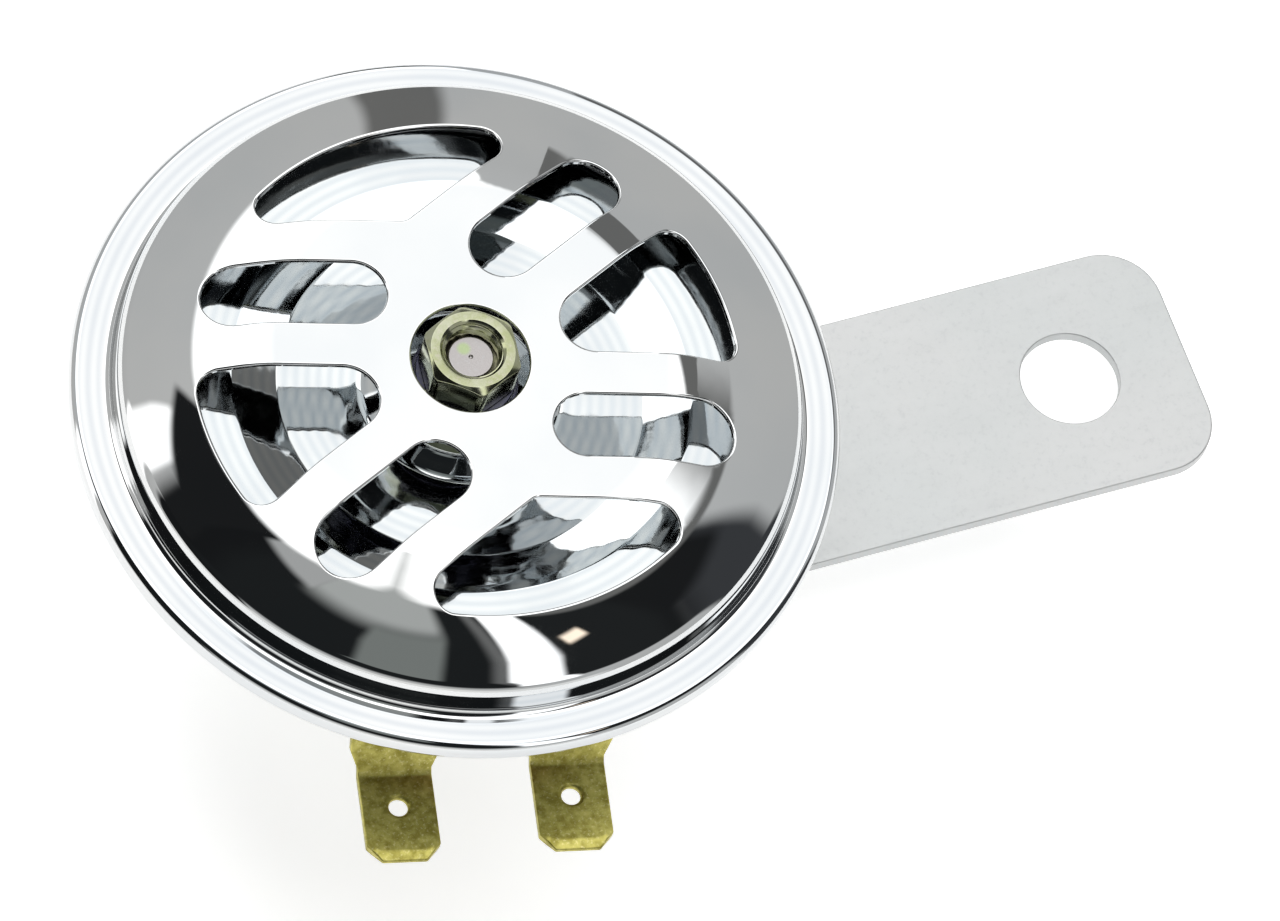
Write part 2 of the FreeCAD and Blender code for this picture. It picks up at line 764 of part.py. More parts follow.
def crescent_openings(sketch):
    """The two wide openings with a blunt inner corner, on the pattern's second axis."""
    apex = ("0", "crescent_side / cos(slot_slant)")
    side, rim = corner_spots("crescent_side", "+", "crescent_corner")
    spots = [apex, side, rim, mirrored(rim, across=-1), mirrored(side, across=-1)]
    arcs = {1: ("crescent_corner", 1), 2: ("slot_reach", 1), 3: ("crescent_corner", 1)}
    for way in (1, -1):
        draw(sketch, [mirrored(spot, way, way) for spot in spots], arcs)


def folded_behind(out, up, before, after):
    """The place behind a fold of the cover's sheet, between the slopes before and after the fold."""
    way, half_fold = f"(({before} + {after}) / 2)", f"(({after} - {before}) / 2)"
    shift = f"cover_sheet / cos({half_fold})"
    return f"{out} - {shift} * sin({way})", f"{up} - {shift} * cos({way})"


def grille_cover():
    folds = [
        ("cone_corner", "plateau_face"),
        ("skirt_corner", "skirt_face"),
        ("shoulder_corner", "shoulder_face"),
        ("foot_corner", "flange_face"),
    ]
    slopes = ["0", "cone_slope", "skirt_slope", "wall_slope", "0"]
    behind = [folded_behind(*spot, *slopes[k : k + 2]) for k, spot in enumerate(folds)]
    front = [
        ("hub_hole", "plateau_face"),
        *folds,
        ("cover_radius", "flange_face"),
        ("cover_radius", "hem_back"),
        ("cover_radius - hem_width", "hem_back"),
    ]
    back = [
        ("cover_radius - hem_width", "flange_back"),
        ("cover_radius - cover_sheet", "flange_back"),
        ("cover_radius - cover_sheet", "cover_seat"),
        *reversed(behind),
        ("hub_hole", "plateau_face - cover_sheet"),
    ]
    body = turned("grille_cover", front + back)
    for spot, inner, bend in zip(folds, behind, ("cone_bend", "skirt_bend", "shoulder_bend")):
        round_rings(body, [spot], bend)
        round_rings(body, [inner], bend + " - cover_sheet")
    round_rings(body, [folds[-1]], "foot_bend")
    round_rings(body, [behind[-1]], "foot_bend + cover_sheet")
    round_rings(body, [front[5], front[6]], "hem_bend + cover_sheet")
    round_rings(body, [back[1], back[2]], "hem_bend")
    for outline in (wedge_openings, parallel_openings, crescent_openings):
        sketch = sketch_on(body, "XY_Plane", outline.__name__)
        outline(sketch)
        cut_through(body, sketch)
    place(body, turn="grille_turn")


def terminal(name, side):
    """A bent brass spade: riveted foot, sloping leg and a blade with a detent hole."""
    body = new_body(name)
    profile = sketch_on(body, "XZ_Plane", name + "_profile")
    top = [
        ("foot_start", "foot_front"),
        ("leg_start + bend_shift", "foot_front"),
        ("blade_bend_reach + bend_shift", "blade_front"),
        ("blade_tip - tip_bevel_length", "blade_front"),
        ("blade_tip", "blade_front - tip_bevel"),
    ]
    under = [
        ("blade_tip", "blade_back + tip_bevel"),
        ("blade_tip - tip_bevel_length", "blade_back"),
        ("blade_bend_reach - bend_shift", "blade_back"),
        ("leg_start - bend_shift", "foot_back"),
        ("foot_start", "foot_back"),
    ]
    draw(profile, top + under)
    pad(body, profile, "shoulder_width", symmetric=True)
    round_edges(body, straight_edges(body, [top[1], under[2]], "Y"), "terminal_bend + terminal_sheet")
    round_edges(body, straight_edges(body, [top[2], under[3]], "Y"), "terminal_bend")
    trim = sketch_on(body, "XY_Plane", name + "_trim")
    for way in (1, -1):
        spots = [
            ("blade_bend_reach - shoulder_cut", "shoulder_width / 2"),
            ("blade_bend_reach", "blade_width / 2"),
            ("blade_tip - tip_cut_length", "blade_width / 2"),
            ("blade_tip", "blade_width / 2 - tip_cut"),
            ("blade_tip + cutting_margin", "blade_width / 2 - tip_cut"),
            ("blade_tip + cutting_margin", "shoulder_width / 2 + cutting_margin"),
            ("blade_bend_reach - shoulder_cut", "shoulder_width / 2 + cutting_margin"),
        ]
        draw(trim, [mirrored(spot, up=way) for spot in spots])
    cut_through(body, trim)
    holes = sketch_on(body, "XY_Plane", name + "_holes")
    draw_circle(holes, "blade_hole", "blade_tip - blade_hole_setback")
    draw_circle(holes, "rivet_bore", "rivet_reach")
    cut_through(body, holes)
    base = body.Tip
    names = []
    for number, edge in enumerate(body.Shape.Edges, 1):
        if isinstance(edge.Curve, Part.Circle) and abs(edge.Curve.Radius - worth("blade_hole")) < near:
            if edge.Curve.Center.z > worth("blade_front") - near:
                names.append("Edge%d" % number)
    dimple = body.newObject("PartDesign::Chamfer", name + "_dimple")
    dimple.Base = (base, names)
    bind(dimple, "Size", "blade_dimple")
    tip(body, dimple)
    bearing = f"{side} * rivet_bearing - terminal_yaw"
    along = f"rivet_circle * cos({bearing}) - rivet_reach"
    place(body, along, f"rivet_circle * sin({bearing})", turn="terminal_turn + terminal_yaw")


def terminal_insulator():
    """The plate behind both terminals, with a sleeve round each rivet through the shell's floor."""
    body = new_body("terminal_insulator")
    plate = sketch_on(body, "XY_Plane", "insulator_plate")
    spots = [
        polar("plate_inner", "-plate_bearing"),
        polar("plate_outer", "-plate_bearing"),
        ("plate_outer", "0"),
        polar("plate_outer", "plate_bearing"),
        polar("plate_inner", "plate_bearing"),
        ("plate_inner", "0"),
    ]
    arcs = {1: ("plate_outer", 1), 2: ("plate_outer", 1), 4: ("plate_inner", -1), 5: ("plate_inner", -1)}
    draw(plate, spots, arcs)
    pad(body, plate, "plate_thickness")
    round_edges(body, straight_edges(body, [spots[0], spots[1], spots[3], spots[4]], "Z"), "strip_corner")
    rivets = [("rivet_reach", "rivet_offset"), ("rivet_reach", "-rivet_offset")]
    sleeves = sketch_on(body, "XY_Plane", "insulator_sleeves")
    for spot in rivets:
        draw_circle(sleeves, "sleeve_radius", *spot)
    pad(body, sleeves, "plate_thickness + shell_sheet")
    bores = sketch_on(body, "XY_Plane", "insulator_bores")
    for spot in rivets:
        draw_circle(bores, "rivet_bore", *spot)
    cut_through(body, bores)
    place(body, height="foot_front", turn="terminal_turn")


def strip(name, start, width, thickness, height, bearing, hole="rivet_bore", wing=False):
    """A flat strip on a rivet, which points at the horn's axis, with a wing to one side if asked."""
    body = new_body(name)
    outline = sketch_on(body, "XY_Plane", name + "_outline")
    half = f"({width}) / 2"
    spots = [(start, "-" + half), ("pad_outer", "-" + half), ("pad_outer", half), (start, half)]
    corners = spots[:]
    if wing:
        inner, outer = "wing_place - wing_width / 2", "wing_place + wing_width / 2"
        out = "wing_reach + wing_width / 2"
        spots[3:3] = [(outer, half), (outer, out), (inner, out), (inner, half)]
        corners += spots[4:6]
    draw(outline, spots)
    pad(body, outline, thickness)
    round_edges(body, straight_edges(body, corners, "Z"), "strip_corner")
    bore = sketch_on(body, "XY_Plane", name + "_bore")
    draw_circle(bore, hole, "rivet_circle")
    cut_through(body, bore)
    place(body, height=height, turn=f"terminal_turn + {bearing}")


def rivet(name, bearing, front):
    """A solid rivet with a flat head outside and a formed head inside."""
    body = turned(
        name,
        [
            ("0", "foot_back - rivet_head_height"),
            ("rivet_head - rivet_chamfer", "foot_back - rivet_head_height"),
            ("rivet_head", "foot_back - rivet_head_height + rivet_chamfer"),
            ("rivet_head", "foot_back"),
            ("rivet_radius", "foot_back"),
            ("rivet_radius", front),
            ("rivet_head", front),
            ("rivet_head", f"{front} + rivet_head_height - rivet_chamfer"),
            ("rivet_head - rivet_chamfer", f"{front} + rivet_head_height"),
            ("0", f"{front} + rivet_head_height"),
        ],
    )
    place(body, along="rivet_circle", turn=f"terminal_turn + {bearing}")


def round_bar(name, radius, length, back, turn, along, across="0"):
    item = doc.addObject("Part::Cylinder", name)
    item.Label = name
    bind(item, "Radius", radius)
    bind(item, "Height", length)
    place(item, along, across, back, turn)
    pieces.append(item)


def contact_breaker():
    """The stack on the right terminal's rivet: spring arm below, stiff arm above, and their insulation."""
    side = "rivet_bearing"
    strip("contact_base_pad", "pad_inner", "pad_width", "pad_thickness", "pad_back", side)
    strip("contact_spring", "spring_tip", "arm_width", "spring_thickness", "pad_front", side)
    strip("contact_spacer", "pad_inner", "pad_width", "2 * contact_height", "spring_front", side)
    arm = ("bracket_arm_tip", "arm_width", "bracket_arm", "arm_back", side)
    strip("contact_bracket", *arm, hole="sleeve_radius", wing=True)
    spot = ("terminal_turn + " + side, "contact_place")
    round_bar("moving_contact", "contact_radius", "contact_height", "spring_front", *spot)
    round_bar("fixed_contact", "contact_radius", "contact_height", "spring_front + contact_height", *spot)
    washer = new_body("contact_top_washer")
    outline = sketch_on(washer, "XY_Plane", "top_washer_outline")
    draw_circle(outline, "top_pad_radius")
    draw_circle(outline, "rivet_bore")
    pad(washer, outline, "top_pad_thickness")
    place(washer, along="rivet_circle", height="arm_front", turn="terminal_turn + " + side)


def adjuster():
    """The screw that sets the stiff arm, its lock nut under the shell's floor and its insulating cap."""
    turn = "terminal_turn + rivet_bearing"
    screw = turned(
        "adjusting_screw",
        [
            ("0", "adjuster_back"),
            ("adjuster_radius - adjuster_chamfer", "adjuster_back"),
            ("adjuster_radius", "adjuster_back + adjuster_chamfer"),
            ("adjuster_radius", "cap_back"),
            ("0", "cap_back"),
        ],
    )
    slot = sketch_on(screw, "XZ_Plane", "screw_slot")
    half = "adjuster_slot / 2"
    low, high = "adjuster_back - cutting_margin", "adjuster_back + adjuster_slot_depth"
    draw(slot, [("-" + half, low), (half, low), (half, high), ("-" + half, high)])
    cut_through(screw, slot)
    place(screw, "wing_place", "wing_reach", "0", turn)
    spot = (turn, "wing_place", "wing_reach")
    bore = "adjuster_radius + thread_clearance"
    hex_nut("adjuster_nut", "adjuster_flats", "adjuster_nut_height", bore, "adjuster_nut_back", *spot)
    round_bar("adjuster_cap", "adjuster_radius", "cap_thickness", "cap_back", *spot)


def left_stack():
    """The left terminal's side: an insulating pad and the tag that the coil's lead is soldered to."""
    side = "-rivet_bearing"
    strip("tag_pad", "pad_inner", "pad_width", "pad_thickness", "pad_back", side)
    strip("solder_tag", "pad_inner", "tag_width", "tag_thickness", "pad_front", side)


def hub():
    ring("hub_spacer", "spacer_radius", "stud_bore", "tone_hub_back - diaphragm_front", "diaphragm_front")
    ring("hub_flat_washer", "hub_washer_radius", "stud_bore", "hub_washer_thickness", "tone_hub_front")
    lock = ("hub_lock_radius", "stud_bore", "hub_lock_thickness", "hub_lock_back")
    split_ring("hub_lock_washer", *lock, "hub_nut_turn")
    nut = ("hub_nut_flats", "hub_nut_height", "stud_radius + thread_clearance", "hub_nut_back")
    hex_nut("hub_nut", *nut, "hub_nut_turn")


def rear_fixing():
    lock = ("rear_lock_radius", "tail_bore", "rear_lock_thickness", "-rear_lock_thickness")
    split_ring("rear_lock_washer", *lock, "rear_lock_turn")
    nut = ("rear_nut_flats", "rear_nut_height", "tail_radius + thread_clearance", "rear_nut_back")
    hex_nut("rear_nut", *nut)


mounting_bracket()
rear_fixing()
body_shell()
pole_core()
coil_bobbin()
coil_winding()
armature()
ring("rear_gasket", "stack_radius", "stack_inner", "gasket_thickness", "flange_front")
diaphragm()
ring("front_gasket", "stack_radius", "stack_inner", "gasket_thickness", "diaphragm_front")
tone_disc()
hub()
grille_cover()
terminal("terminal_left", -1)
terminal("terminal_right", 1)
terminal_insulator()
left_stack()
rivet("terminal_rivet_left", "-rivet_bearing", "tag_front")
rivet("terminal_rivet_right", "rivet_bearing", "top_pad_front")
contact_breaker()
adjuster()
coil_leads()
doc.recompute()

for item in doc.Objects:
    if "Invalid" in item.State or "Error" in item.State:
        raise ValueError(item.Label + " did not compute")
os.makedirs("parts", exist_ok=True)
for item in pieces:
    if item.Shape.isNull() or not item.Shape.isValid():
        raise ValueError(item.Label + " is not a sound shape")
for item in pieces:
    item.Shape.exportStep("parts/" + item.Label + ".step")
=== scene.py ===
import math

import bpy
import numpy as np
from mathutils import Matrix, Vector
from mathutils.geometry import delaunay_2d_cdt


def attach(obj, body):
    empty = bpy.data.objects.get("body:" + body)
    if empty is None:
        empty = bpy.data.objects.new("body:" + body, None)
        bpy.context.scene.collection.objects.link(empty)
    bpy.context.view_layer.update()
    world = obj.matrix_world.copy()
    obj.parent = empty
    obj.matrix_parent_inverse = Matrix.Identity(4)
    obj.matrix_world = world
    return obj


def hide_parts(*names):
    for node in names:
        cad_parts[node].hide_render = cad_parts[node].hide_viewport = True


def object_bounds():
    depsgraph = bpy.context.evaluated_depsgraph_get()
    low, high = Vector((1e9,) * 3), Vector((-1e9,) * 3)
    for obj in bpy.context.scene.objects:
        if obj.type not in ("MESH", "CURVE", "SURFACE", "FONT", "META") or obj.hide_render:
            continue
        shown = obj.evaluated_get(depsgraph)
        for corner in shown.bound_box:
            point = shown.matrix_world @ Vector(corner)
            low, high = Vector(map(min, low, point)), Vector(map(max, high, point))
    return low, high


# Car horn. Shapes are worked out in millimetres about the horn's own axis and set down in the frame in metres.
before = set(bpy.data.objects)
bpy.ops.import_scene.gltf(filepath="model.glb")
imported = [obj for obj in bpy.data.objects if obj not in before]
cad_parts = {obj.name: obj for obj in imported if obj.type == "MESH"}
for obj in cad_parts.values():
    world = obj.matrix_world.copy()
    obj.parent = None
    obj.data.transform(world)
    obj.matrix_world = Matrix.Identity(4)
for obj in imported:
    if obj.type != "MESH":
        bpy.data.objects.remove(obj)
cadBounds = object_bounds()
print("frame loaded")

mm = 0.001
hornAxis = (-60.7, 0.0)


def unit(vectors):
    return vectors / np.maximum(np.linalg.norm(vectors, axis=-1, keepdims=True), 1e-12)


def soften(corners, radii, steps=6, closed=True):
    # Rounds a path's corners. The arc starts radius / tan(half the corner's angle) from the corner, and its points
    # and directions turn evenly from the way in to the way out.
    count = corners.shape[-2]
    radii = np.broadcast_to(radii, count)
    points, ways = [], []
    turn = np.linspace(0, 1, steps + 1)[:, None]
    for i in range(count):
        here = corners[..., i : i + 1, :]
        before = corners[..., i - 1, :][..., None, :]
        after = corners[..., (i + 1) % count, :][..., None, :]
        if not closed and i in (0, count - 1):  # an open path's ends stay where they are
            points.append(here)
            ways.append(unit(after - here) if i == 0 else unit(here - before))
            continue
        back, onward = unit(before - here), unit(after - here)
        half = np.arccos(np.clip((back * onward).sum(-1, keepdims=True), -1, 1)) / 2
        half = np.clip(half, 1e-4, math.pi / 2 - 1e-4)
        room = np.minimum(np.linalg.norm(before - here, axis=-1), np.linalg.norm(after - here, axis=-1))
        length = np.minimum(radii[i] / np.tan(half), 0.48 * room[..., None])
        middle = here + unit(back + onward) * length * np.tan(half) / np.sin(half)
        sweep = math.pi - 2 * half
        first, last = np.sin((1 - turn) * sweep) / np.sin(sweep), np.sin(turn * sweep) / np.sin(sweep)
        points.append(middle + first * (here + back * length - middle) + last * (here + onward * length - middle))
        ways.append(last * onward - first * back)
    return np.concatenate(points, axis=-2), unit(np.concatenate(ways, axis=-2))


pathSamples = 24001


def bentPath(corners, radii):
    # The path of a bent sheet: its direction turns evenly along each bend, and the summed steps give its place.
    points, ways = soften(np.array(corners, float), radii, 1, closed=False)
    angles = np.unwrap(np.arctan2(ways[:, 1], ways[:, 0]))
    half = np.where(np.abs(np.diff(angles)) > 1e-9, np.diff(angles) / 2, 1e-9)
    lengths = np.linalg.norm(np.diff(points, axis=0), axis=1) * half / np.sin(half)
    knots = np.concatenate([[0], np.cumsum(lengths)])
    run = np.linspace(0, knots[-1], pathSamples)
    angle = np.interp(run, knots, angles)
    middle = (angle[1:] + angle[:-1]) / 2
    step = run[1]
    out = points[0, 0] + np.concatenate([[0], np.cumsum(np.cos(middle)) * step])
    up = points[0, 1] + np.concatenate([[0], np.cumsum(np.sin(middle)) * step])
    return {"run": run, "out": out, "up": up, "angle": angle, "knots": knots}


def runAt(path, out):
    # How far along the path its distance from the axis first reaches out.
    rising = path["out"][: path["out"].argmax()]
    return np.interp(out, rising, path["run"][: len(rising)])


def alongPath(path, run):
    spot = [np.interp(run, path["run"], path[key]) for key in ("out", "up", "angle")]
    beyond = run - np.clip(run, 0, path["run"][-1])
    return spot[0] + beyond * np.cos(spot[2]), spot[1] + beyond * np.sin(spot[2]), spot[2]


def makePiece(name, points, faces, normals=None, sharp=32.0, turn=0.0, move=None):
    # Sets the points down in the frame, turned about their own Z and moved, and turns the faces outwards: the sum
    # of each face's corner triple products is six times the volume, so a negative sum means inside out.
    turn = math.radians(turn)
    spin = np.array([[math.cos(turn), -math.sin(turn), 0], [math.sin(turn), math.cos(turn), 0], [0, 0, 1]])
    move = np.array([*hornAxis, 0.0] if move is None else move)
    points = points.reshape(-1, 3) @ spin.T + move
    volume = 0.0
    for group in faces:
        for k in range(1, group.shape[1] - 1):
            corner = [points[group[:, n]] for n in (0, k, k + 1)]
            volume += np.einsum("ij,ij->", corner[0], np.cross(corner[1], corner[2]))
    if volume < 0:
        faces = [group[:, ::-1] for group in faces]
    mesh = bpy.data.meshes.new(name)
    mesh.from_pydata((points * mm).tolist(), [], [face for group in faces for face in group.tolist()])
    mesh.update()
    mesh.shade_smooth()
    if normals is None:
        mesh.set_sharp_from_angle(angle=math.radians(sharp))
    else:
        mesh.normals_split_custom_set_from_vertices((unit(normals.reshape(-1, 3)) @ spin.T).tolist())
    piece = bpy.data.objects.new(name, mesh)
    bpy.context.scene.collection.objects.link(piece)
    return piece


def gridFaces(rows, columns, wrapRows):
    # Four corners for each cell of a grid whose columns join up, and whose rows do too if wrapRows is true.
    i, j = np.meshgrid(np.arange(rows - (not wrapRows)), np.arange(columns), indexing="ij")
    i, j = i.ravel(), j.ravel()
    nextRow, nextColumn = (i + 1) % rows, (j + 1) % columns
    corners = [i * columns + j, nextRow * columns + j, nextRow * columns + nextColumn, i * columns + nextColumn]
    return np.stack(corners, axis=1)


def profileNormals(points, ways):
    # A profile's outward side is on the right of its direction when the profile runs anticlockwise.
    following = np.roll(points, -1, axis=-2)
    area = (points[..., 0] * following[..., 1] - following[..., 0] * points[..., 1]).sum(-1)
    side = np.sign(area)[..., None]
    return np.stack([ways[..., 1] * side, -ways[..., 0] * side], axis=-1)


def revolved(name, corners, radii, segments=192, steps=6, turn=0.0, move=None):
    # A half section carried round the axis: x = radius cos(angle), y = radius sin(angle). A section that starts and
    # ends on the axis is closed there by one shared point at each end.
    corners = np.array(corners, float)
    solid = corners[0, 0] == 0 and corners[-1, 0] == 0
    points, ways = soften(corners, radii, steps, closed=not solid)
    normals = profileNormals(points, ways)
    angle = np.linspace(0, 2 * math.pi, segments, endpoint=False)
    if solid:
        poles, poleNormals = points[[0, -1]], normals[[0, -1]]
        points, normals = points[1:-1], normals[1:-1]
    around = np.stack([np.cos(angle), np.sin(angle)], axis=1)

    def spread(pairs):
        flat = pairs[:, None, 0, None] * around[None]
        return np.concatenate([flat, np.broadcast_to(pairs[:, None, 1:], flat.shape[:2] + (1,))], axis=2)

    shape, facing = spread(points), spread(normals)
    rows = len(points)
    faces = [gridFaces(rows, segments, not solid)]
    shape, facing = shape.reshape(-1, 3), facing.reshape(-1, 3)
    if solid:
        ends = [[0.0, 0.0, poles[0, 1]], [0.0, 0.0, poles[1, 1]]]
        ways = [[0.0, 0.0, math.copysign(1.0, poleNormals[k, 1])] for k in (0, 1)]
        near, following = np.arange(segments), (np.arange(segments) + 1) % segments
        last = (rows - 1) * segments
        total = rows * segments
        faces.append(np.stack([np.full(segments, total), near, following], axis=1))
        faces.append(np.stack([np.full(segments, total + 1), last + following, last + near], axis=1))
        shape, facing = np.concatenate([shape, ends]), np.concatenate([facing, ways])
    return makePiece(name, shape, faces, facing, turn=turn, move=move)


arcStep = 7


def outline(spots, arcs=None, spacing=0.45):
    # A closed outline of complex numbers, with points a spacing or arcStep degrees apart at most. A stretch named in
    # arcs bends at that radius, to the left if its turn is 1.
    stretches = []
    for i, start in enumerate(spots):
        end = spots[(i + 1) % len(spots)]
        chord = end - start
        if arcs and i in arcs:
            radius, turn = arcs[i]
            rise = math.sqrt(max(radius**2 - abs(chord) ** 2 / 4, 0))
            centre = (start + end) / 2 + 1j * chord / abs(chord) * rise * turn
            sweep = 2 * math.asin(min(abs(chord) / 2 / radius, 1))
            count = max(math.ceil(radius * sweep / spacing), math.ceil(math.degrees(sweep) / arcStep))
            stretches.append(centre + (start - centre) * np.exp(1j * turn * sweep * np.arange(count) / count))
        else:
            count = max(math.ceil(abs(chord) / spacing), 1)
            stretches.append(start + chord * np.arange(count) / count)
    return np.concatenate(stretches)


def circle(radius, centre=0j, count=72):
    return centre + radius * np.exp(2j * math.pi * np.arange(count) / count)


def signedArea(loop):
    return (loop.conj() * np.roll(loop, -1)).imag.sum() / 2


def insideLoops(points, loops):
    # Even-odd rule: a point is in the sheet if a line from it crosses the outlines an odd number of times.
    crossings = np.zeros(len(points), int)
    for loop in loops:
        start, end = loop, np.roll(loop, -1)
        y = points.imag[:, None]
        straddles = (start.imag[None] > y) != (end.imag[None] > y)
        rise = np.where(start.imag == end.imag, 1e-12, end.imag - start.imag)
        crossing = start.real + (y - start.imag) * (end.real - start.real) / rise
        crossings += (straddles & (points.real[:, None] < crossing)).sum(1)
    return crossings % 2 == 1


def distanceTo(points, loop):
    start, chord = loop, np.roll(loop, -1) - loop
    along = ((points[:, None] - start) * chord.conj()).real / np.maximum(np.abs(chord) ** 2, 1e-12)
    return np.abs(points[:, None] - start - np.clip(along, 0, 1) * chord).min(1)


edgeSteps = 6  # points in each quarter round
slopeStep = 0.004  # millimetres to each side, to measure how place stretches and turns


def sheetPiece(name, loops, seeds, thickness, edge, place, clear=0.3, under=1.0, turn=0.0, move=None):
    # A sheet with rounded edges. Both faces are triangles between the outlines, drawn in by the edge's radius. Each
    # edge is a profile carried along its outline: a quarter round, a wall and a quarter round. place then maps every
    # flat point (x, y, depth) into space, and the cofactors of its slopes turn the flat normals.
    edges = np.broadcast_to(edge, len(loops))
    inwards, rings = [], []
    for k, loop in enumerate(loops):
        way = np.roll(loop, -1) - np.roll(loop, 1)
        inward = 1j * way / np.abs(way) * np.sign(signedArea(loop)) * (1 if k == 0 else -1)
        inwards.append(inward)
        rings.append(loop + inward * edges[k])
    if len(seeds):
        keep = insideLoops(seeds, rings)
        for ring in rings:
            keep &= distanceTo(seeds, ring) > clear
        seeds = seeds[keep]
    flat = np.concatenate(rings + [seeds])
    links, start = [], 0
    for ring in rings:
        index = start + np.arange(len(ring))
        links.append(np.stack([index, np.roll(index, -1)], axis=1))
        start += len(ring)
    spots = np.stack([flat.real, flat.imag], axis=1).tolist()
    found = delaunay_2d_cdt(spots, np.concatenate(links).tolist(), [], 0, 1e-9)
    flat = np.array([complex(*spot) for spot in found[0]])
    triangles = np.array(found[2])
    triangles = triangles[insideLoops(flat[triangles].mean(1), rings)]
    source = np.array([origin[0] for origin in found[3]])
    placeOf = np.full(len(source) + 1, -1)
    placeOf[source] = np.arange(len(source))
    total = len(flat)
    zero = np.zeros(total)
    points = [np.stack([flat.real, flat.imag, zero], 1), np.stack([flat.real, flat.imag, zero - thickness], 1)]
    normals = [np.tile([0.0, 0.0, 1.0], (total, 1)), np.tile([0.0, 0.0, -1.0], (total, 1))]
    faces = [triangles, triangles[:, ::-1] + total]
    angle = np.linspace(0, math.pi / 2, edgeSteps)[:, None]
    count, start = 2 * total, 0
    for k, loop in enumerate(loops):
        front = [loop + inwards[k] * edges[k] * (1 - np.sin(angle)), -edges[k] * (1 - np.cos(angle))]
        back = [front[0][::-1], -thickness - under * front[1][::-1]]
        spot = np.concatenate([front[0], back[0]])
        depth = np.concatenate([front[1], back[1]]) + np.zeros(spot.shape)
        lean = np.concatenate([np.sin(angle), np.sin(angle[::-1])])
        facing = np.concatenate([np.cos(angle), -np.cos(angle[::-1])]) + np.zeros(spot.shape)
        outward = -inwards[k] * lean
        rows, columns = spot.shape
        ids = count + np.arange((rows - 2) * columns).reshape(rows - 2, columns)
        ends = placeOf[start + np.arange(columns)]
        ids = np.concatenate([ends[None], ids, ends[None] + total])
        following = np.roll(ids, -1, axis=1)
        quads = np.stack([ids[:-1], ids[1:], following[1:], following[:-1]], axis=-1).reshape(-1, 4)
        faces.append(quads if signedArea(loop) * (1 if k == 0 else -1) > 0 else quads[:, ::-1])
        inner = slice(1, rows - 1)
        points.append(np.stack([spot.real, spot.imag, depth], axis=-1)[inner].reshape(-1, 3))
        normals.append(np.stack([outward.real, outward.imag, facing], axis=-1)[inner].reshape(-1, 3))
        count += (rows - 2) * columns
        start += columns
    points, normals = np.concatenate(points), np.concatenate(normals)
    shifts = slopeStep * np.eye(3)
    slopes = [(place(points + shift) - place(points - shift)) / (2 * slopeStep) for shift in shifts]
    cofactors = [np.cross(slopes[1], slopes[2]), np.cross(slopes[2], slopes[0]), np.cross(slopes[0], slopes[1])]
    turned = sum(normals[:, k : k + 1] * cofactors[k] for k in range(3))
    hand = np.sign((cofactors[2] * slopes[2]).sum(1, keepdims=True))
    return makePiece(name, place(points), faces, turned * hand, turn=turn, move=move)


def roundSheet(path, side=1.0):
    # A flat sheet wrapped on a turned profile: the distance from its middle runs along the profile.
    start = path["out"][0]

    def place(flat):
        reach = np.maximum(np.hypot(flat[:, 0], flat[:, 1]), 1e-9)
        out, up, angle = alongPath(path, reach - start)
        out = out - side * np.sin(angle) * flat[:, 2]
        up = up + side * np.cos(angle) * flat[:, 2]
        return np.stack([flat[:, 0] / reach * out, flat[:, 1] / reach * out, up], axis=1)

    return place


def unrolled(path, loop):
    # The flat place of an outline that is given as seen along the axis.
    return loop / np.abs(loop) * (runAt(path, np.abs(loop)) + path["out"][0])


def ringSeeds(reaches, spacing, most):
    # Points on circles, evenly spaced along each and shifted by half a step on every second one.
    spots = []
    for k, reach in enumerate(reaches):
        count = min(most, max(24, 6 * round(2 * math.pi * reach / spacing / 6)))
        spots.append(reach * np.exp(2j * math.pi * (np.arange(count) + 0.5 * (k % 2)) / count))
    return np.concatenate(spots)


def gridSeeds(low, high, spacing):
    x, y = np.meshgrid(np.arange(low[0], high[0], spacing[0]), np.arange(low[1], high[1], spacing[1]))
    return (x + 1j * y).ravel()


class Field:
    # One shader socket. Python's operators on it add Math nodes.
    def __init__(self, finish, socket):
        self.finish, self.socket = finish, socket

    def math(self, operation, *others):
        inputs = {k: value for k, value in enumerate((self,) + others)}
        return self.finish.add("ShaderNodeMath", {"operation": operation}, inputs)

    def reflected(self, operation, other):
        return self.finish.add("ShaderNodeMath", {"operation": operation}, {0: other, 1: self})

    def __add__(self, other):
        return self.math("ADD", other)

    def __radd__(self, other):
        return self.reflected("ADD", other)

    def __sub__(self, other):
        return self.math("SUBTRACT", other)

    def __rsub__(self, other):
        return self.reflected("SUBTRACT", other)

    def __mul__(self, other):
        return self.math("MULTIPLY", other)

    def __rmul__(self, other):
        return self.reflected("MULTIPLY", other)

    def __truediv__(self, other):
        return self.math("DIVIDE", other)

    def __rtruediv__(self, other):
        return self.reflected("DIVIDE", other)

    def ramp(self, low, high):
        # 0 below low, 1 above high and an even S between them.
        inputs = {"Value": self, "From Min": low, "From Max": high}
        return self.finish.add("ShaderNodeMapRange", {"interpolation_type": "SMOOTHSTEP"}, inputs)


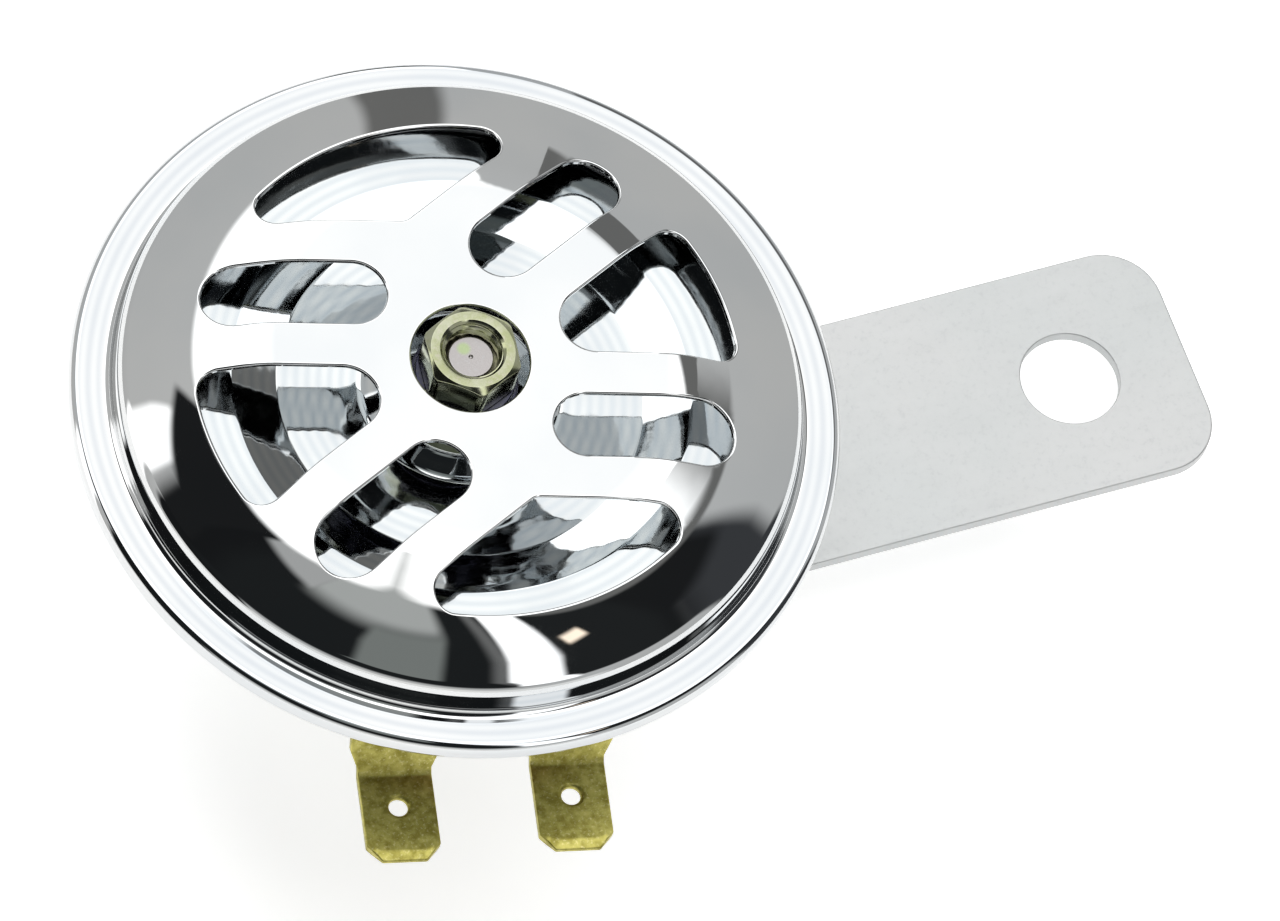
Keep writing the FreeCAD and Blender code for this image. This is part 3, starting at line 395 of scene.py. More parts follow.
class Finish:
    # A node tree, and the one method that adds nodes to it.
    def __init__(self, tree):
        self.tree = tree

    def add(self, kind, settings=None, inputs=None, output=0):
        node = self.tree.nodes.new(kind)
        for key, value in (settings or {}).items():
            if key == "stops":
                while len(node.color_ramp.elements) < len(value):
                    node.color_ramp.elements.new(0.5)
                for element, (spot, colour) in zip(node.color_ramp.elements, value):
                    element.position, element.color = spot, (*colour, 1.0)
            else:
                setattr(node, key, value)
        for key, value in (inputs or {}).items():
            self.feed(node.inputs[key], value)
        return Field(self, node.outputs[output])

    def feed(self, socket, value):
        if isinstance(value, Field):
            self.tree.links.new(value.socket, socket)
        else:
            socket.default_value = value

    def mix(self, factor, first, second, blend="MIX"):
        settings = {"data_type": "RGBA", "blend_type": blend, "clamp_factor": True}
        first, second = (value if isinstance(value, Field) else (*value, 1.0) for value in (first, second))
        return self.add("ShaderNodeMix", settings, {0: factor, 6: first, 7: second}, output=2)

    def noise(self, where, scale, detail=2.0, rough=0.5):
        inputs = {"Vector": where, "Scale": scale, "Detail": detail, "Roughness": rough}
        return self.add("ShaderNodeTexNoise", {}, inputs)

    def stretched(self, where, scale, turn=0.0):
        inputs = {"Vector": where, "Rotation": (0.0, 0.0, turn), "Scale": scale}
        return self.add("ShaderNodeMapping", {"vector_type": "TEXTURE"}, inputs)


def startFinish(name):
    material = bpy.data.materials.new(name)
    material.use_nodes = True
    finish = Finish(material.node_tree)
    finish.material = material
    finish.shader = material.node_tree.nodes["Principled BSDF"]
    finish.where = finish.add("ShaderNodeTexCoord", output="Object")
    return finish


def closeFinish(finish, colour, roughness, metallic=1.0, height=None, depth=0.0001, strength=0.3, **constants):
    finish.feed(finish.shader.inputs["Base Color"], colour if isinstance(colour, Field) else (*colour, 1.0))
    finish.feed(finish.shader.inputs["Roughness"], roughness)
    finish.feed(finish.shader.inputs["Metallic"], metallic)
    if height is not None:
        bump = finish.add("ShaderNodeBump", {}, {"Height": height, "Distance": depth, "Strength": strength})
        finish.feed(finish.shader.inputs["Normal"], bump)
    for key, value in constants.items():
        finish.shader.inputs[key.replace("_", " ")].default_value = value
    return finish.material


def aboutAxis(finish):
    # Object coordinates moved to the horn's axis, and the distance from that axis in metres.
    middle = (hornAxis[0] * mm, hornAxis[1] * mm, 0.0)
    centred = finish.add("ShaderNodeVectorMath", {"operation": "SUBTRACT"}, {0: finish.where, 1: middle})
    flat = finish.add("ShaderNodeVectorMath", {"operation": "MULTIPLY"}, {0: centred, 1: (1.0, 1.0, 0.0)})
    reach = finish.add("ShaderNodeVectorMath", {"operation": "LENGTH"}, {0: flat}, output="Value")
    return centred, reach


ringFade = 0.0006  # metres over which the rings come in
ringWander = {"Distortion": 0.6, "Detail": 2.0, "Detail Scale": 0.15}


def polishedFinish(name, look):
    # Bright plating: a faint cloud in the colour, a breath of haze, the sheet's slow waviness, and the fine rings
    # that spinning and pressing leave outside a given distance from the axis.
    finish = startFinish(name)
    centred, reach = aboutAxis(finish)
    cloud = finish.noise(finish.where, look["cloud"], 3.0)
    haze = finish.noise(finish.where, look["cloud"] * 6, 4.0, 0.6)
    settings = {"wave_type": "RINGS", "rings_direction": "Z"}
    inputs = {"Vector": centred, "Scale": look["rings"], **ringWander}
    rings = finish.add("ShaderNodeTexWave", settings, inputs, output=1)
    rings = rings * reach.ramp(look["ringStart"], look["ringStart"] + ringFade)
    colour = finish.mix(cloud.ramp(0.35, 0.65), look["dark"], look["light"])
    colour = finish.mix(rings * look["tinted"], colour, look["tint"])
    wave = finish.noise(finish.where, look["wave"], 1.0) + finish.noise(finish.where, look["wave"] * 5, 2.0) * 0.12
    height = wave + rings * look["ringDepth"]
    roughness = look["rough"] + haze.ramp(0.45, 0.75) * look["haze"]
    return closeFinish(finish, colour, roughness, height=height, depth=look["depth"], strength=1.0)


def platedFinish(name, look):
    # Satin plating: fine crystals that glint, rolling marks along one way and slow patches of tone.
    finish = startFinish(name)
    patch = finish.noise(finish.where, look["patch"], 3.0, 0.6)
    grain = finish.noise(finish.where, look["grain"], 4.0, 0.7)
    rolled = finish.noise(finish.stretched(finish.where, look["stretch"], turn=look["turn"]), look["lines"], 3.0)
    tone = finish.mix(patch.ramp(0.3, 0.7), look["dark"], look["light"])
    speck = grain.ramp(0.52, 0.72) * look["speck"]
    colour = finish.mix(speck, tone, look["spot"])
    if "stain" in look:  # a dab of paint with a ragged edge
        ends = {0: finish.where, 1: look["stain"]}
        away = finish.add("ShaderNodeVectorMath", {"operation": "DISTANCE"}, ends, output="Value")
        away = away / look["stainReach"] + patch
        colour = finish.mix(1 - away.ramp(0.9, 1.5), colour, look["stained"])
    roughness = look["rough"] + grain * look["spread"] + rolled * look["spread"] * 0.5
    height = grain * 0.6 + rolled * 0.4
    return closeFinish(finish, colour, roughness, height=height, depth=look["depth"], strength=0.6)


def mouldedFinish(name, look):
    # Plastics, laminates, gaskets and enamel: two tones, fine grain and a little sheen.
    finish = startFinish(name)
    patch = finish.noise(finish.where, look["patch"], 4.0, 0.6)
    grain = finish.noise(finish.stretched(finish.where, look["stretch"]), look["grain"], 4.0, 0.7)
    colour = finish.mix(patch.ramp(0.3, 0.7), look["dark"], look["light"])
    colour = finish.mix(grain.ramp(0.5, 0.75) * 0.5, colour, look["spot"])
    roughness = look["rough"] + grain * 0.15
    return closeFinish(finish, colour, roughness, look["metallic"], grain, look["depth"], 0.5)


chromeLook = {
    "dark": (0.62, 0.635, 0.645), "light": (0.665, 0.67, 0.67), "cloud": 60.0, "wave": 45.0, "depth": 0.00002,
    "rough": 0.02, "haze": 0.03, "rings": 330.0, "ringStart": 0.0296, "ringDepth": 0.03,
    "tint": (0.42, 0.455, 0.50), "tinted": 0.4,
}
discLook = {
    "dark": (0.58, 0.60, 0.61), "light": (0.66, 0.68, 0.68), "cloud": 90.0, "wave": 160.0, "depth": 0.00003,
    "rough": 0.04, "haze": 0.06, "rings": 330.0, "ringStart": 0.006, "ringDepth": 0.05,
    "tint": (0.50, 0.54, 0.57), "tinted": 0.6,
}
zincLook = {
    "dark": (0.50, 0.515, 0.515), "light": (0.53, 0.535, 0.535), "spot": (0.44, 0.45, 0.46), "speck": 0.4,
    "patch": 40.0, "grain": 2200.0, "stretch": (6.0, 1.0, 1.0), "turn": 0.0, "lines": 900.0,
    "rough": 0.34, "spread": 0.16, "depth": 0.000012,
}
shellLook = {**zincLook, "dark": (0.48, 0.50, 0.51), "light": (0.60, 0.61, 0.61), "rough": 0.16, "spread": 0.12}
yellowLook = {
    "dark": (0.42, 0.40, 0.14), "light": (0.68, 0.62, 0.26), "spot": (0.75, 0.60, 0.42), "speck": 0.4,
    "patch": 260.0, "grain": 2600.0, "stretch": (1.0, 1.0, 3.0), "turn": 0.0, "lines": 1500.0,
    "rough": 0.14, "spread": 0.14, "depth": 0.00001,
}
nutLook = {
    "dark": (0.35, 0.37, 0.21), "light": (0.44, 0.45, 0.33), "spot": (0.50, 0.45, 0.40), "speck": 0.5,
    "patch": 900.0, "grain": 2600.0, "stretch": (1.0, 1.0, 3.0), "turn": 0.0, "lines": 1500.0,
    "rough": 0.07, "spread": 0.08, "depth": 0.000008,
}
# Painted shade: the hub washers are yellow zinc, but here they are coloured near black to stand in for the shade in
# the gap under the hub nut.
washerShadeLook = {
    **yellowLook, "dark": (0.03, 0.03, 0.05), "light": (0.07, 0.07, 0.10), "spot": (0.14, 0.14, 0.10),
    "depth": 0.000002,
}
brassLook = {
    "dark": (0.26, 0.23, 0.045), "light": (0.50, 0.455, 0.13), "spot": (0.85, 0.80, 0.42), "speck": 0.55,
    "patch": 1100.0, "grain": 3600.0, "stretch": (1.0, 5.0, 1.0), "turn": 0.0, "lines": 1600.0,
    "rough": 0.24, "spread": 0.2, "depth": 0.00002,
}
steelLook = {**zincLook, "dark": (0.36, 0.345, 0.34), "light": (0.43, 0.40, 0.395), "rough": 0.22, "spread": 0.14}
studLook = {**steelLook, "stain": (-0.06102, 0.00088, 0.0359), "stainReach": 0.0007, "stained": (0.36, 0.43, 0.25)}
springLook = {**zincLook, "dark": (0.34, 0.35, 0.38), "light": (0.46, 0.47, 0.50), "rough": 0.25, "spread": 0.1}
contactLook = {**zincLook, "dark": (0.55, 0.54, 0.50), "light": (0.74, 0.73, 0.70), "rough": 0.3, "spread": 0.15}
copperLook = {
    "dark": (0.36, 0.09, 0.03), "light": (0.55, 0.17, 0.06), "spot": (0.70, 0.28, 0.10), "metallic": 0.8,
    "patch": 200.0, "grain": 700.0, "stretch": (6.0, 6.0, 1.0), "rough": 0.25, "depth": 0.0001,
}
bobbinLook = {
    "dark": (0.020, 0.020, 0.022), "light": (0.045, 0.045, 0.047), "spot": (0.07, 0.07, 0.07), "metallic": 0.0,
    "patch": 150.0, "grain": 1600.0, "stretch": (1.0, 1.0, 1.0), "rough": 0.45, "depth": 0.00003,
}
laminateLook = {
    "dark": (0.16, 0.055, 0.022), "light": (0.26, 0.10, 0.04), "spot": (0.36, 0.18, 0.08), "metallic": 0.0,
    "patch": 200.0, "grain": 900.0, "stretch": (5.0, 1.0, 1.0), "rough": 0.4, "depth": 0.00003,
}
gasketLook = {
    "dark": (0.10, 0.10, 0.095), "light": (0.17, 0.165, 0.155), "spot": (0.26, 0.25, 0.23), "metallic": 0.0,
    "patch": 300.0, "grain": 1800.0, "stretch": (1.0, 1.0, 1.0), "rough": 0.7, "depth": 0.00005,
}

finishes = {
    "chrome": polishedFinish("brightChrome", chromeLook),
    "discChrome": polishedFinish("discChrome", discLook),
    "zinc_steel": platedFinish("satinZinc", zincLook),
    "shell": platedFinish("shellZinc", shellLook),
    "yellow_zinc": platedFinish("yellowZinc", yellowLook),
    "nut": platedFinish("nutZinc", nutLook),
    # Painted shade: near-black washers stand in for the shade under the hub nut.
    "washer": platedFinish("washerShadeZinc", washerShadeLook),
    "brass": platedFinish("terminalBrass", brassLook),
    "pole_steel": platedFinish("poleSteel", steelLook),
    "stud": platedFinish("studSteel", studLook),
    "spring_steel": platedFinish("springSteel", springLook),
    "contact_metal": platedFinish("contactMetal", contactLook),
    "copper_wire": mouldedFinish("enamelledCopper", copperLook),
    "bobbin_plastic": mouldedFinish("bobbinPlastic", bobbinLook),
    "laminate": mouldedFinish("brownLaminate", laminateLook),
    "gasket": mouldedFinish("gasketFibre", gasketLook),
}
print("finishes ready")


def dress(piece, slot, *nodes, finish=None):
    piece.data.materials.append(finishes[finish or slot])
    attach(piece, "root")
    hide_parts(*nodes)
    return piece


cover = {
    "corners": [(5.0, 35.7), (17.62, 35.7), (24.6, 33.23), (28.8, 30.82), (29.12, 27.8), (32.5, 27.8),
                (32.5, 25.6), (30.1, 25.6)],
    "bends": [0, 9.4, 36.0, 1.6, 0.7, 0.8, 0.8, 0], "inner": 23.8, "inside": 0.75, "around": 480,
    "rings": {"skirt": 12, "straight": 3, "bend": 9}, "sheet": 0.5, "edge": 0.2, "turn": 2.9,
}
openings = {
    "slant": 20.0, "reach": 23.05, "wedgeCorner": 1.8, "crescentCorner": 1.9, "wedgeApex": 2.75, "wedgeEnd": 3.0,
    "innerRib": 4.0, "width": 5.85, "start": 11.3, "outerRib": 3.96, "apexRound": 1.2,
}


def coverOpenings(o):
    # Eight outlines: two wedges on the first axis, four slots and two crescents on the second, by mirroring.
    slant = math.radians(o["slant"])
    leaning = np.exp(1j * slant)
    wedgeSide = o["wedgeApex"] * math.sin(slant)

    def cornerSpots(offset, way, corner):
        reach, centre = o["reach"] - corner, offset + way * corner
        along = math.sqrt(reach**2 - centre**2)
        return (along + 1j * offset) * leaning, (along + 1j * centre) * leaning * o["reach"] / reach

    begin = (o["wedgeApex"] + o["wedgeEnd"] / math.sin(slant)) * math.cos(slant)
    side, rim = cornerSpots(-wedgeSide, -1, o["wedgeCorner"])
    half = [(begin - 1j * wedgeSide) * leaning, side, rim]
    spots = [spot.conjugate() for spot in half] + half[::-1]
    corner = (o["wedgeCorner"], 1)
    wedge = outline(spots, {1: corner, 2: (o["reach"], 1), 3: corner, 5: (o["wedgeEnd"], 1)})

    low = o["innerRib"] - wedgeSide
    half = o["width"] / 2
    middle = low + half
    first = math.sqrt(o["start"] ** 2 - middle**2)
    last = math.sqrt((o["reach"] - half) ** 2 - middle**2)
    spots = [(first, low), (last, low), (last + half, middle), (last, low + 2 * half), (first, low + 2 * half)]
    spots = [complex(*spot) * leaning for spot in spots + [(first - half, middle)]]
    slot = outline(spots, {k: (half, 1) for k in (1, 2, 4, 5)})

    offset = low + 2 * half + o["outerRib"]
    side, rim = cornerSpots(offset, 1, o["crescentCorner"])
    apex = 1j * offset / math.cos(slant)
    cut = o["apexRound"] * math.tan(slant)
    start = apex + cut * leaning
    spots = [start, side, rim, -rim.conjugate(), -side.conjugate(), -start.conjugate()]
    corner = (o["crescentCorner"], 1)
    arcs = {1: corner, 2: (o["reach"], 1), 3: corner, 5: (o["apexRound"], 1)}
    crescent = outline(spots, arcs)
    return [wedge, -wedge, slot, slot.conj(), -slot, -slot.conj(), crescent, crescent.conj()]


def grilleCover(c):
    # Inside the openings' reach the points are spread evenly. Outside it they lie on rings with shared bearings, so
    # that no triangle reaches across a bend.
    path = bentPath(c["corners"], c["bends"])
    hub = c["corners"][0][0]
    knots = path["knots"]
    inner = runAt(path, c["inner"])
    spread = hub + np.arange(c["inside"], inner, c["inside"])
    rings = [np.linspace(inner, knots[5], c["rings"]["skirt"], endpoint=False)]
    for k in range(5, len(knots) - 1):
        count = c["rings"]["bend" if k % 2 else "straight"]
        rings.append(np.linspace(knots[k], knots[k + 1], count, endpoint=False))
    rings = hub + np.concatenate(rings)
    shared = [circle(reach, count=c["around"]) for reach in rings]
    seeds = np.concatenate([ringSeeds(spread, c["inside"], c["around"])] + shared)
    loops = [circle(hub + knots[-1], count=c["around"]), circle(hub, count=120)]
    loops += [unrolled(path, loop) for loop in coverOpenings(openings)]
    fold = roundSheet(path)
    return sheetPiece("grilleCover", loops, seeds, c["sheet"], c["edge"], fold, under=0.6, turn=c["turn"], clear=0.2)


dress(grilleCover(cover), "chrome", "grille_cover")
print("grille cover ready")


disc = {
    "bore": 2.6, "hub": 6.8, "hubEnd": 8.4, "stepIn": 15.4, "stepOut": 19.4, "radius": 24.2,
    "hubFace": 31.0, "ringFace": 29.8, "bandFace": 30.8, "sheet": 1.0,
}


def toneDisc(d):
    front = [
        (d["bore"], d["hubFace"]), (d["hub"], d["hubFace"]), (d["hubEnd"], d["ringFace"]),
        (d["stepIn"], d["ringFace"]), (d["stepOut"], d["bandFace"]), (d["radius"], d["bandFace"]),
    ]
    back = [(out, up - d["sheet"]) for out, up in reversed(front)]
    radii = [0.15, 0.8, 1.2, 0.9, 0.9, 0.2, 0.2, 0.9, 0.9, 1.2, 0.8, 0.15]
    return revolved("toneDisc", front + back, radii, 256, 8)


dress(toneDisc(disc), "chrome", "tone_disc", finish="discChrome")


hubNut = {"flats": 7.5, "height": 4.0, "bore": 2.55, "back": 33.2, "crown": 3.55, "mouth": 0.25, "turn": 22.0,
          "thread": (34.2, 37.0, 0.8, 0.32)}
rearNut = {"flats": 10.0, "height": 5.0, "bore": 3.05, "back": -6.5, "crown": 4.8, "mouth": 0.25, "turn": 0.0,
           "thread": None}
adjusterSpot = (20.3, 8.2)
terminalTurn, rivetBearing, rivetCircle = -101.8, 18.3, 23.4
adjusterNut = {"flats": 5.5, "height": 2.4, "bore": 1.55, "back": 17.8, "crown": 2.55, "mouth": 0.25,
               "turn": terminalTurn + rivetBearing, "thread": None}


nutChamfer = math.radians(30)
nutCornerCut = 0.12


def hexNut(name, n, move=None):
    # Rings of the hexagon's rounded outline: bore, mouth, crown ring, the cone that cuts the corners, flats, and
    # back. At each bearing the cone meets the flat lower by (reach - crown) tan(chamfer). The bore carries a thread
    # whose depth is a wave of height / pitch - bearing / full turn.
    corners = n["flats"] / math.sqrt(3) * np.exp(1j * math.pi / 3 * np.arange(6))
    hexagon = outline(list(corners), spacing=0.3)
    reach = np.minimum(np.abs(hexagon), n["flats"] / math.sqrt(3) - nutCornerCut)
    bearing = np.angle(hexagon)
    drop = np.maximum(reach - n["crown"], 0) * math.tan(nutChamfer)
    low, high = n["back"], n["back"] + n["height"]
    flat = np.zeros(len(reach))
    rim = n["bore"] + n["mouth"]
    rings = [(flat + n["bore"], flat + low + n["mouth"]), (flat + rim, flat + low), (flat + n["crown"], flat + low)]
    rings += [(reach, low + drop), (reach, high - drop), (flat + n["crown"], flat + high), (flat + rim, flat + high)]
    rings += [(flat + n["bore"], flat + high - n["mouth"])]
    section = np.stack([np.stack(ring, axis=-1) for ring in rings], axis=1)
    section = soften(section, [0.08, 0.08, 0.1, 0.14, 0.14, 0.1, 0.1, 0.08], 4)[0]
    if n["thread"]:
        start, end, pitch, depth = n["thread"]
        levels = np.linspace(section[0, -1, 1] - 0.02, section[0, 0, 1] + 0.02, 60)
        phase = levels[None] / pitch - bearing[:, None] / (2 * math.pi)
        wave = 0.5 - np.abs(phase % 1 - 0.5)
        fade = np.clip((levels - start) / 0.5, 0, 1) * np.clip((end - levels) / 0.3, 0, 1)
        bore = n["bore"] - 2 * depth * wave * fade[None]
        section = np.concatenate([section, np.stack([bore, np.broadcast_to(levels, bore.shape)], -1)], axis=1)
    points = np.concatenate(
        [section[..., :1] * np.cos(bearing)[:, None, None], section[..., :1] * np.sin(bearing)[:, None, None],
         section[..., 1:]], axis=-1
    )
    faces = [gridFaces(points.shape[0], points.shape[1], True)]
    return makePiece(name, points, faces, sharp=50.0, turn=n["turn"], move=move)


def hornSpot(along, across, turn):
    spot = complex(along, across) * np.exp(1j * math.radians(turn))
    return [hornAxis[0] + spot.real, hornAxis[1] + spot.imag, 0.0]


ringSteps = 120


def splitRing(name, outer, inner, thickness, back, turn, gap=0.7):
    # A rounded rectangle carried round an arc that leaves the gap open, with both ends closed on their middles.
    corners = [(inner, back), (outer, back), (outer, back + thickness), (inner, back + thickness)]
    section = soften(np.array(corners, float), 0.12, 4)[0]
    middle = (outer + inner) / 2
    half = gap / 2 / middle
    angle = np.linspace(half, 2 * math.pi - half, ringSteps)[:, None]
    out, up = section[None, :, 0], section[None, :, 1] + np.zeros((ringSteps, 1))
    points = np.stack([out * np.cos(angle), out * np.sin(angle), up], axis=-1)
    rows, columns = points.shape[:2]
    total = rows * columns
    caps = []
    for k, row in enumerate((0, rows - 1)):
        index = row * columns + np.arange(columns)
        fan = np.stack([np.full(columns, total + k), index, np.roll(index, -1)], axis=1)
        caps.append(fan if row else fan[:, ::-1])
    ends = points[[0, -1]].mean(axis=1)
    shape = np.concatenate([points.reshape(-1, 3), ends])
    return makePiece(name, shape, [gridFaces(rows, columns, False)] + caps, turn=turn)


dress(hexNut("hubNut", hubNut), "yellow_zinc", "hub_nut", finish="nut")
dress(splitRing("hubLockWasher", 4.3, 2.6, 1.2, 32.0, 22.0), "yellow_zinc", "hub_lock_washer", finish="washer")
flatWasher = [(2.6, 31.0), (4.6, 31.0), (4.6, 32.0), (2.6, 32.0)]
dress(revolved("hubFlatWasher", flatWasher, 0.12), "yellow_zinc", "hub_flat_washer", finish="washer")
studSection = [
    (0.0, 18.8), (7.1, 18.8), (7.1, 21.6), (9.0, 21.6), (9.0, 22.4), (7.1, 22.4), (7.1, 26.2), (6.3, 27.0),
    (2.5, 27.0), (2.5, 35.25), (1.85, 35.9), (0.2, 35.9), (0.0, 35.62),
]
stud = revolved("armatureStud", studSection, [0.1] * 10 + [0.12, 0.05, 0.02], 128)
dress(stud, "pole_steel", "armature", finish="stud")
dress(hexNut("rearNut", rearNut), "yellow_zinc", "rear_nut")
dress(splitRing("rearLockWasher", 5.4, 3.15, 1.5, -1.5, 90.0), "yellow_zinc", "rear_lock_washer")
spot = hornSpot(*adjusterSpot, terminalTurn + rivetBearing)
dress(hexNut("adjusterNut", adjusterNut, spot), "yellow_zinc", "adjuster_nut")
print("hub and fixings ready")


bracket = {"reach": 60.7, "width": 21.4, "end": 10.6, "corner": 5.0, "hole": 4.3, "tail": 3.15, "sheet": 1.2}


def mountingBracket(b):
    half, corner = b["width"] / 2, b["corner"]
    spots = [
        complex(-b["reach"], -half), complex(b["end"] - corner, -half), complex(b["end"], corner - half),
        complex(b["end"], half - corner), complex(b["end"] - corner, half), complex(-b["reach"], half),
        complex(-b["reach"] - half, 0),
    ]
    edge = outline(spots, {1: (corner, 1), 3: (corner, 1), 5: (half, 1), 6: (half, 1)}, 0.8)
    loops = [edge, circle(b["hole"]), circle(b["tail"], complex(-b["reach"]))]
    seeds = gridSeeds((-75, -half), (b["end"], half), (1.6, 1.6))

    def place(flat):
        return flat + np.array([0, 0, b["sheet"]])

    return sheetPiece(
        "mountingBracket", loops, seeds, b["sheet"], [0.16, 0.12, 0.12], place, clear=0.5, move=(0, 0, 0)
    )


dress(mountingBracket(bracket), "zinc_steel", "mounting_bracket")


shell = {"cup": 17.5, "pan": 28.3, "edge": 31.7, "tail": 3.15, "floor": 1.2, "panBack": 20.2, "flange": 26.1,
         "sheet": 0.8, "bend": 0.8, "counts": [10, 8, 12, 8, 7, 8, 4, 8, 2],
         "around": 300, "holes": (2.15, 1.7)}


def bodyShell(s):
    corners = [(s["tail"], s["floor"]), (s["cup"], s["floor"]), (s["cup"], s["panBack"]), (s["pan"], s["panBack"])]
    corners += [(s["pan"], s["flange"]), (s["edge"], s["flange"])]
    outer = s["bend"] + s["sheet"]
    path = bentPath(corners, [0, outer, s["bend"], outer, s["bend"], 0])
    knots = path["knots"] + s["tail"]
    stretches = zip(knots, knots[1:], s["counts"])
    reaches = np.concatenate([np.linspace(a, b, count, endpoint=False) for a, b, count in stretches])
    floor = [k for k in range(len(knots) - 1) if abs(alongPath(path, path["knots"][k])[1] - s["panBack"]) < 1e-3][0]
    shift = knots[floor] - alongPath(path, path["knots"][floor])[0]
    holes = []
    rivetHole, screwHole = s["holes"]
    spots = [(rivetHole, rivetCircle, 0, -1), (rivetHole, rivetCircle, 0, 1), (screwHole, *adjusterSpot, 1)]
    for radius, along, across, side in spots:
        middle = complex(along, across) * np.exp(1j * math.radians(terminalTurn + side * rivetBearing))
        hole = circle(radius, middle, 36)
        holes.append(hole / np.abs(hole) * (np.abs(hole) + shift))
    loops = [circle(knots[-1], count=s["around"]), circle(s["tail"], count=48)] + holes
    seeds = ringSeeds(reaches[1:], 1.0, s["around"])
    return sheetPiece("bodyShell", loops, seeds, s["sheet"], 0.12, roundSheet(path, -1.0), clear=0.3)


dress(bodyShell(shell), "zinc_steel", "body_shell", finish="shell")
print("shell and bracket ready")


terminal = {
    "yaw": -1.6, "sheet": 0.8, "shoulder": 7.7, "width": 6.3, "length": 8.3, "drop": 4.2, "slope": 60.0,
    "front": 19.2, "bend": 0.4, "margin": 2.9, "clearance": 0.46, "rivet": 1.45, "head": 2.3, "hole": 0.8,
    "setback": 5.0, "dimple": 0.38, "tipCut": 1.25, "tipLength": 1.4, "bevel": 0.22, "bevelLength": 0.9, "cut": 0.9,
}


def terminalBlade(name, t, side):
    slope = math.radians(t["slope"])
    rivetReach = rivetCircle * math.cos(math.radians(rivetBearing))
    legStart = rivetReach + t["head"] + t["clearance"]
    bladeStart = legStart + t["drop"] / math.tan(slope)
    tip = bladeStart + t["length"]
    shift = t["sheet"] / 2 * math.tan(slope / 2)
    start = rivetReach - t["margin"]
    corners = [(start, t["front"]), (legStart + shift, t["front"])]
    corners += [(bladeStart + shift, t["front"] - t["drop"]), (tip, t["front"] - t["drop"])]
    path = bentPath(corners, [0, t["bend"] + t["sheet"], t["bend"], 0])
    full = path["run"][-1]

    def reached(out):
        return float(np.interp(out, path["out"], path["run"]))

    wide, slim = t["shoulder"] / 2, t["width"] / 2
    half = [
        (0.0, wide), (reached(bladeStart - t["cut"]), wide), (reached(bladeStart), slim),
        (full - t["tipLength"], slim), (full, slim - t["tipCut"]),
    ]
    spots = [complex(x, -y) for x, y in half] + [complex(x, y) for x, y in reversed(half)]
    flatSpots = np.array([[spot.real, spot.imag] for spot in spots])
    rounded = soften(flatSpots, 0.3, 4)[0]
    loops = [outline([complex(*spot) for spot in rounded], spacing=0.5)]
    loops.append(circle(t["rivet"], complex(reached(rivetReach)), 40))
    loops.append(circle(t["hole"], complex(full - t["setback"]), 40))
    seeds = gridSeeds((0.1, -wide), (full, wide), (0.35, 0.7))

    def place(flat):
        # The tip thins evenly from both faces over the bevel's length.
        thin = 2 * t["bevel"] / t["sheet"] * np.clip((flat[:, 0] - full + t["bevelLength"]) / t["bevelLength"], 0, 1)
        middle = -t["sheet"] / 2
        depth = middle + (flat[:, 2] - middle) * (1 - thin)
        out, up, angle = alongPath(path, flat[:, 0])
        return np.stack([out - np.sin(angle) * depth, flat[:, 1], up + np.cos(angle) * depth], axis=1)

    bearing = math.radians(side * rivetBearing - t["yaw"])
    along, across = rivetCircle * math.cos(bearing) - rivetReach, rivetCircle * math.sin(bearing)
    turn = terminalTurn + t["yaw"]
    move = hornSpot(along, across, turn)
    edges = [0.14, 0.08, t["dimple"]]
    return sheetPiece(name, loops, seeds, t["sheet"], edges, place, clear=0.2, turn=turn, move=move)


dress(terminalBlade("terminalLeft", terminal, -1), "brass", "terminal_left")
dress(terminalBlade("terminalRight", terminal, 1), "brass", "terminal_right")


def rivetPiece(name, side, front):
    back = terminal["front"] - terminal["sheet"]
    section = [
        (0.0, back - 0.8), (2.0, back - 0.8), (2.3, back - 0.5), (2.3, back), (1.4, back), (1.4, front),
        (2.3, front), (2.3, front + 0.5), (2.0, front + 0.8), (0.0, front + 0.8),
    ]
    move = hornSpot(rivetCircle, 0, terminalTurn + side * rivetBearing)
    return revolved(name, section, [0, 0.5, 0.3, 0.1, 0.05, 0.05, 0.1, 0.3, 0.5, 0], 64, move=move)


dress(rivetPiece("rivetLeft", -1, 22.2), "brass", "terminal_rivet_left")
dress(rivetPiece("rivetRight", 1, 24.5), "brass", "terminal_rivet_right")
print("terminals ready")


keptNodes = {
    "pole_steel": ["pole_core", "adjusting_screw"],
    "spring_steel": ["diaphragm", "contact_spring", "contact_bracket"],
    "contact_metal": ["moving_contact", "fixed_contact"],
    "copper_wire": ["coil_winding", "coil_lead_left", "coil_lead_right"],
    "bobbin_plastic": ["coil_bobbin"],
    "laminate": ["terminal_insulator", "tag_pad", "contact_base_pad", "contact_spacer", "contact_top_washer",
                 "adjuster_cap"],
    "gasket": ["front_gasket", "rear_gasket"],
    "yellow_zinc": ["hub_spacer"],
    "brass": ["solder_tag"],
}
for slot, nodes in keptNodes.items():
    for node in nodes:
        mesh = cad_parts[node].data
        mesh.materials.clear()
        mesh.materials.append(finishes[slot])


studio = {
    "floorReach": 2500.0, "floorDark": (0.84, 0.845, 0.84), "floorLight": (0.86, 0.86, 0.86),
    "towardsCamera": -127.1, "panelLight": (2.2, 2.2, 2.19), "panelFar": (1.5, 1.51, 1.51),
    "wallLow": (0.60, 0.605, 0.60), "wallHigh": (0.66, 0.665, 0.66), "floorGlow": 0.6,
    "farPatch": (130.0, 172.0, 46.0, 58.0, 62.0, 76.0), "panelSoft": (-1.5, 2.0), "wallTop": 60.0,
}


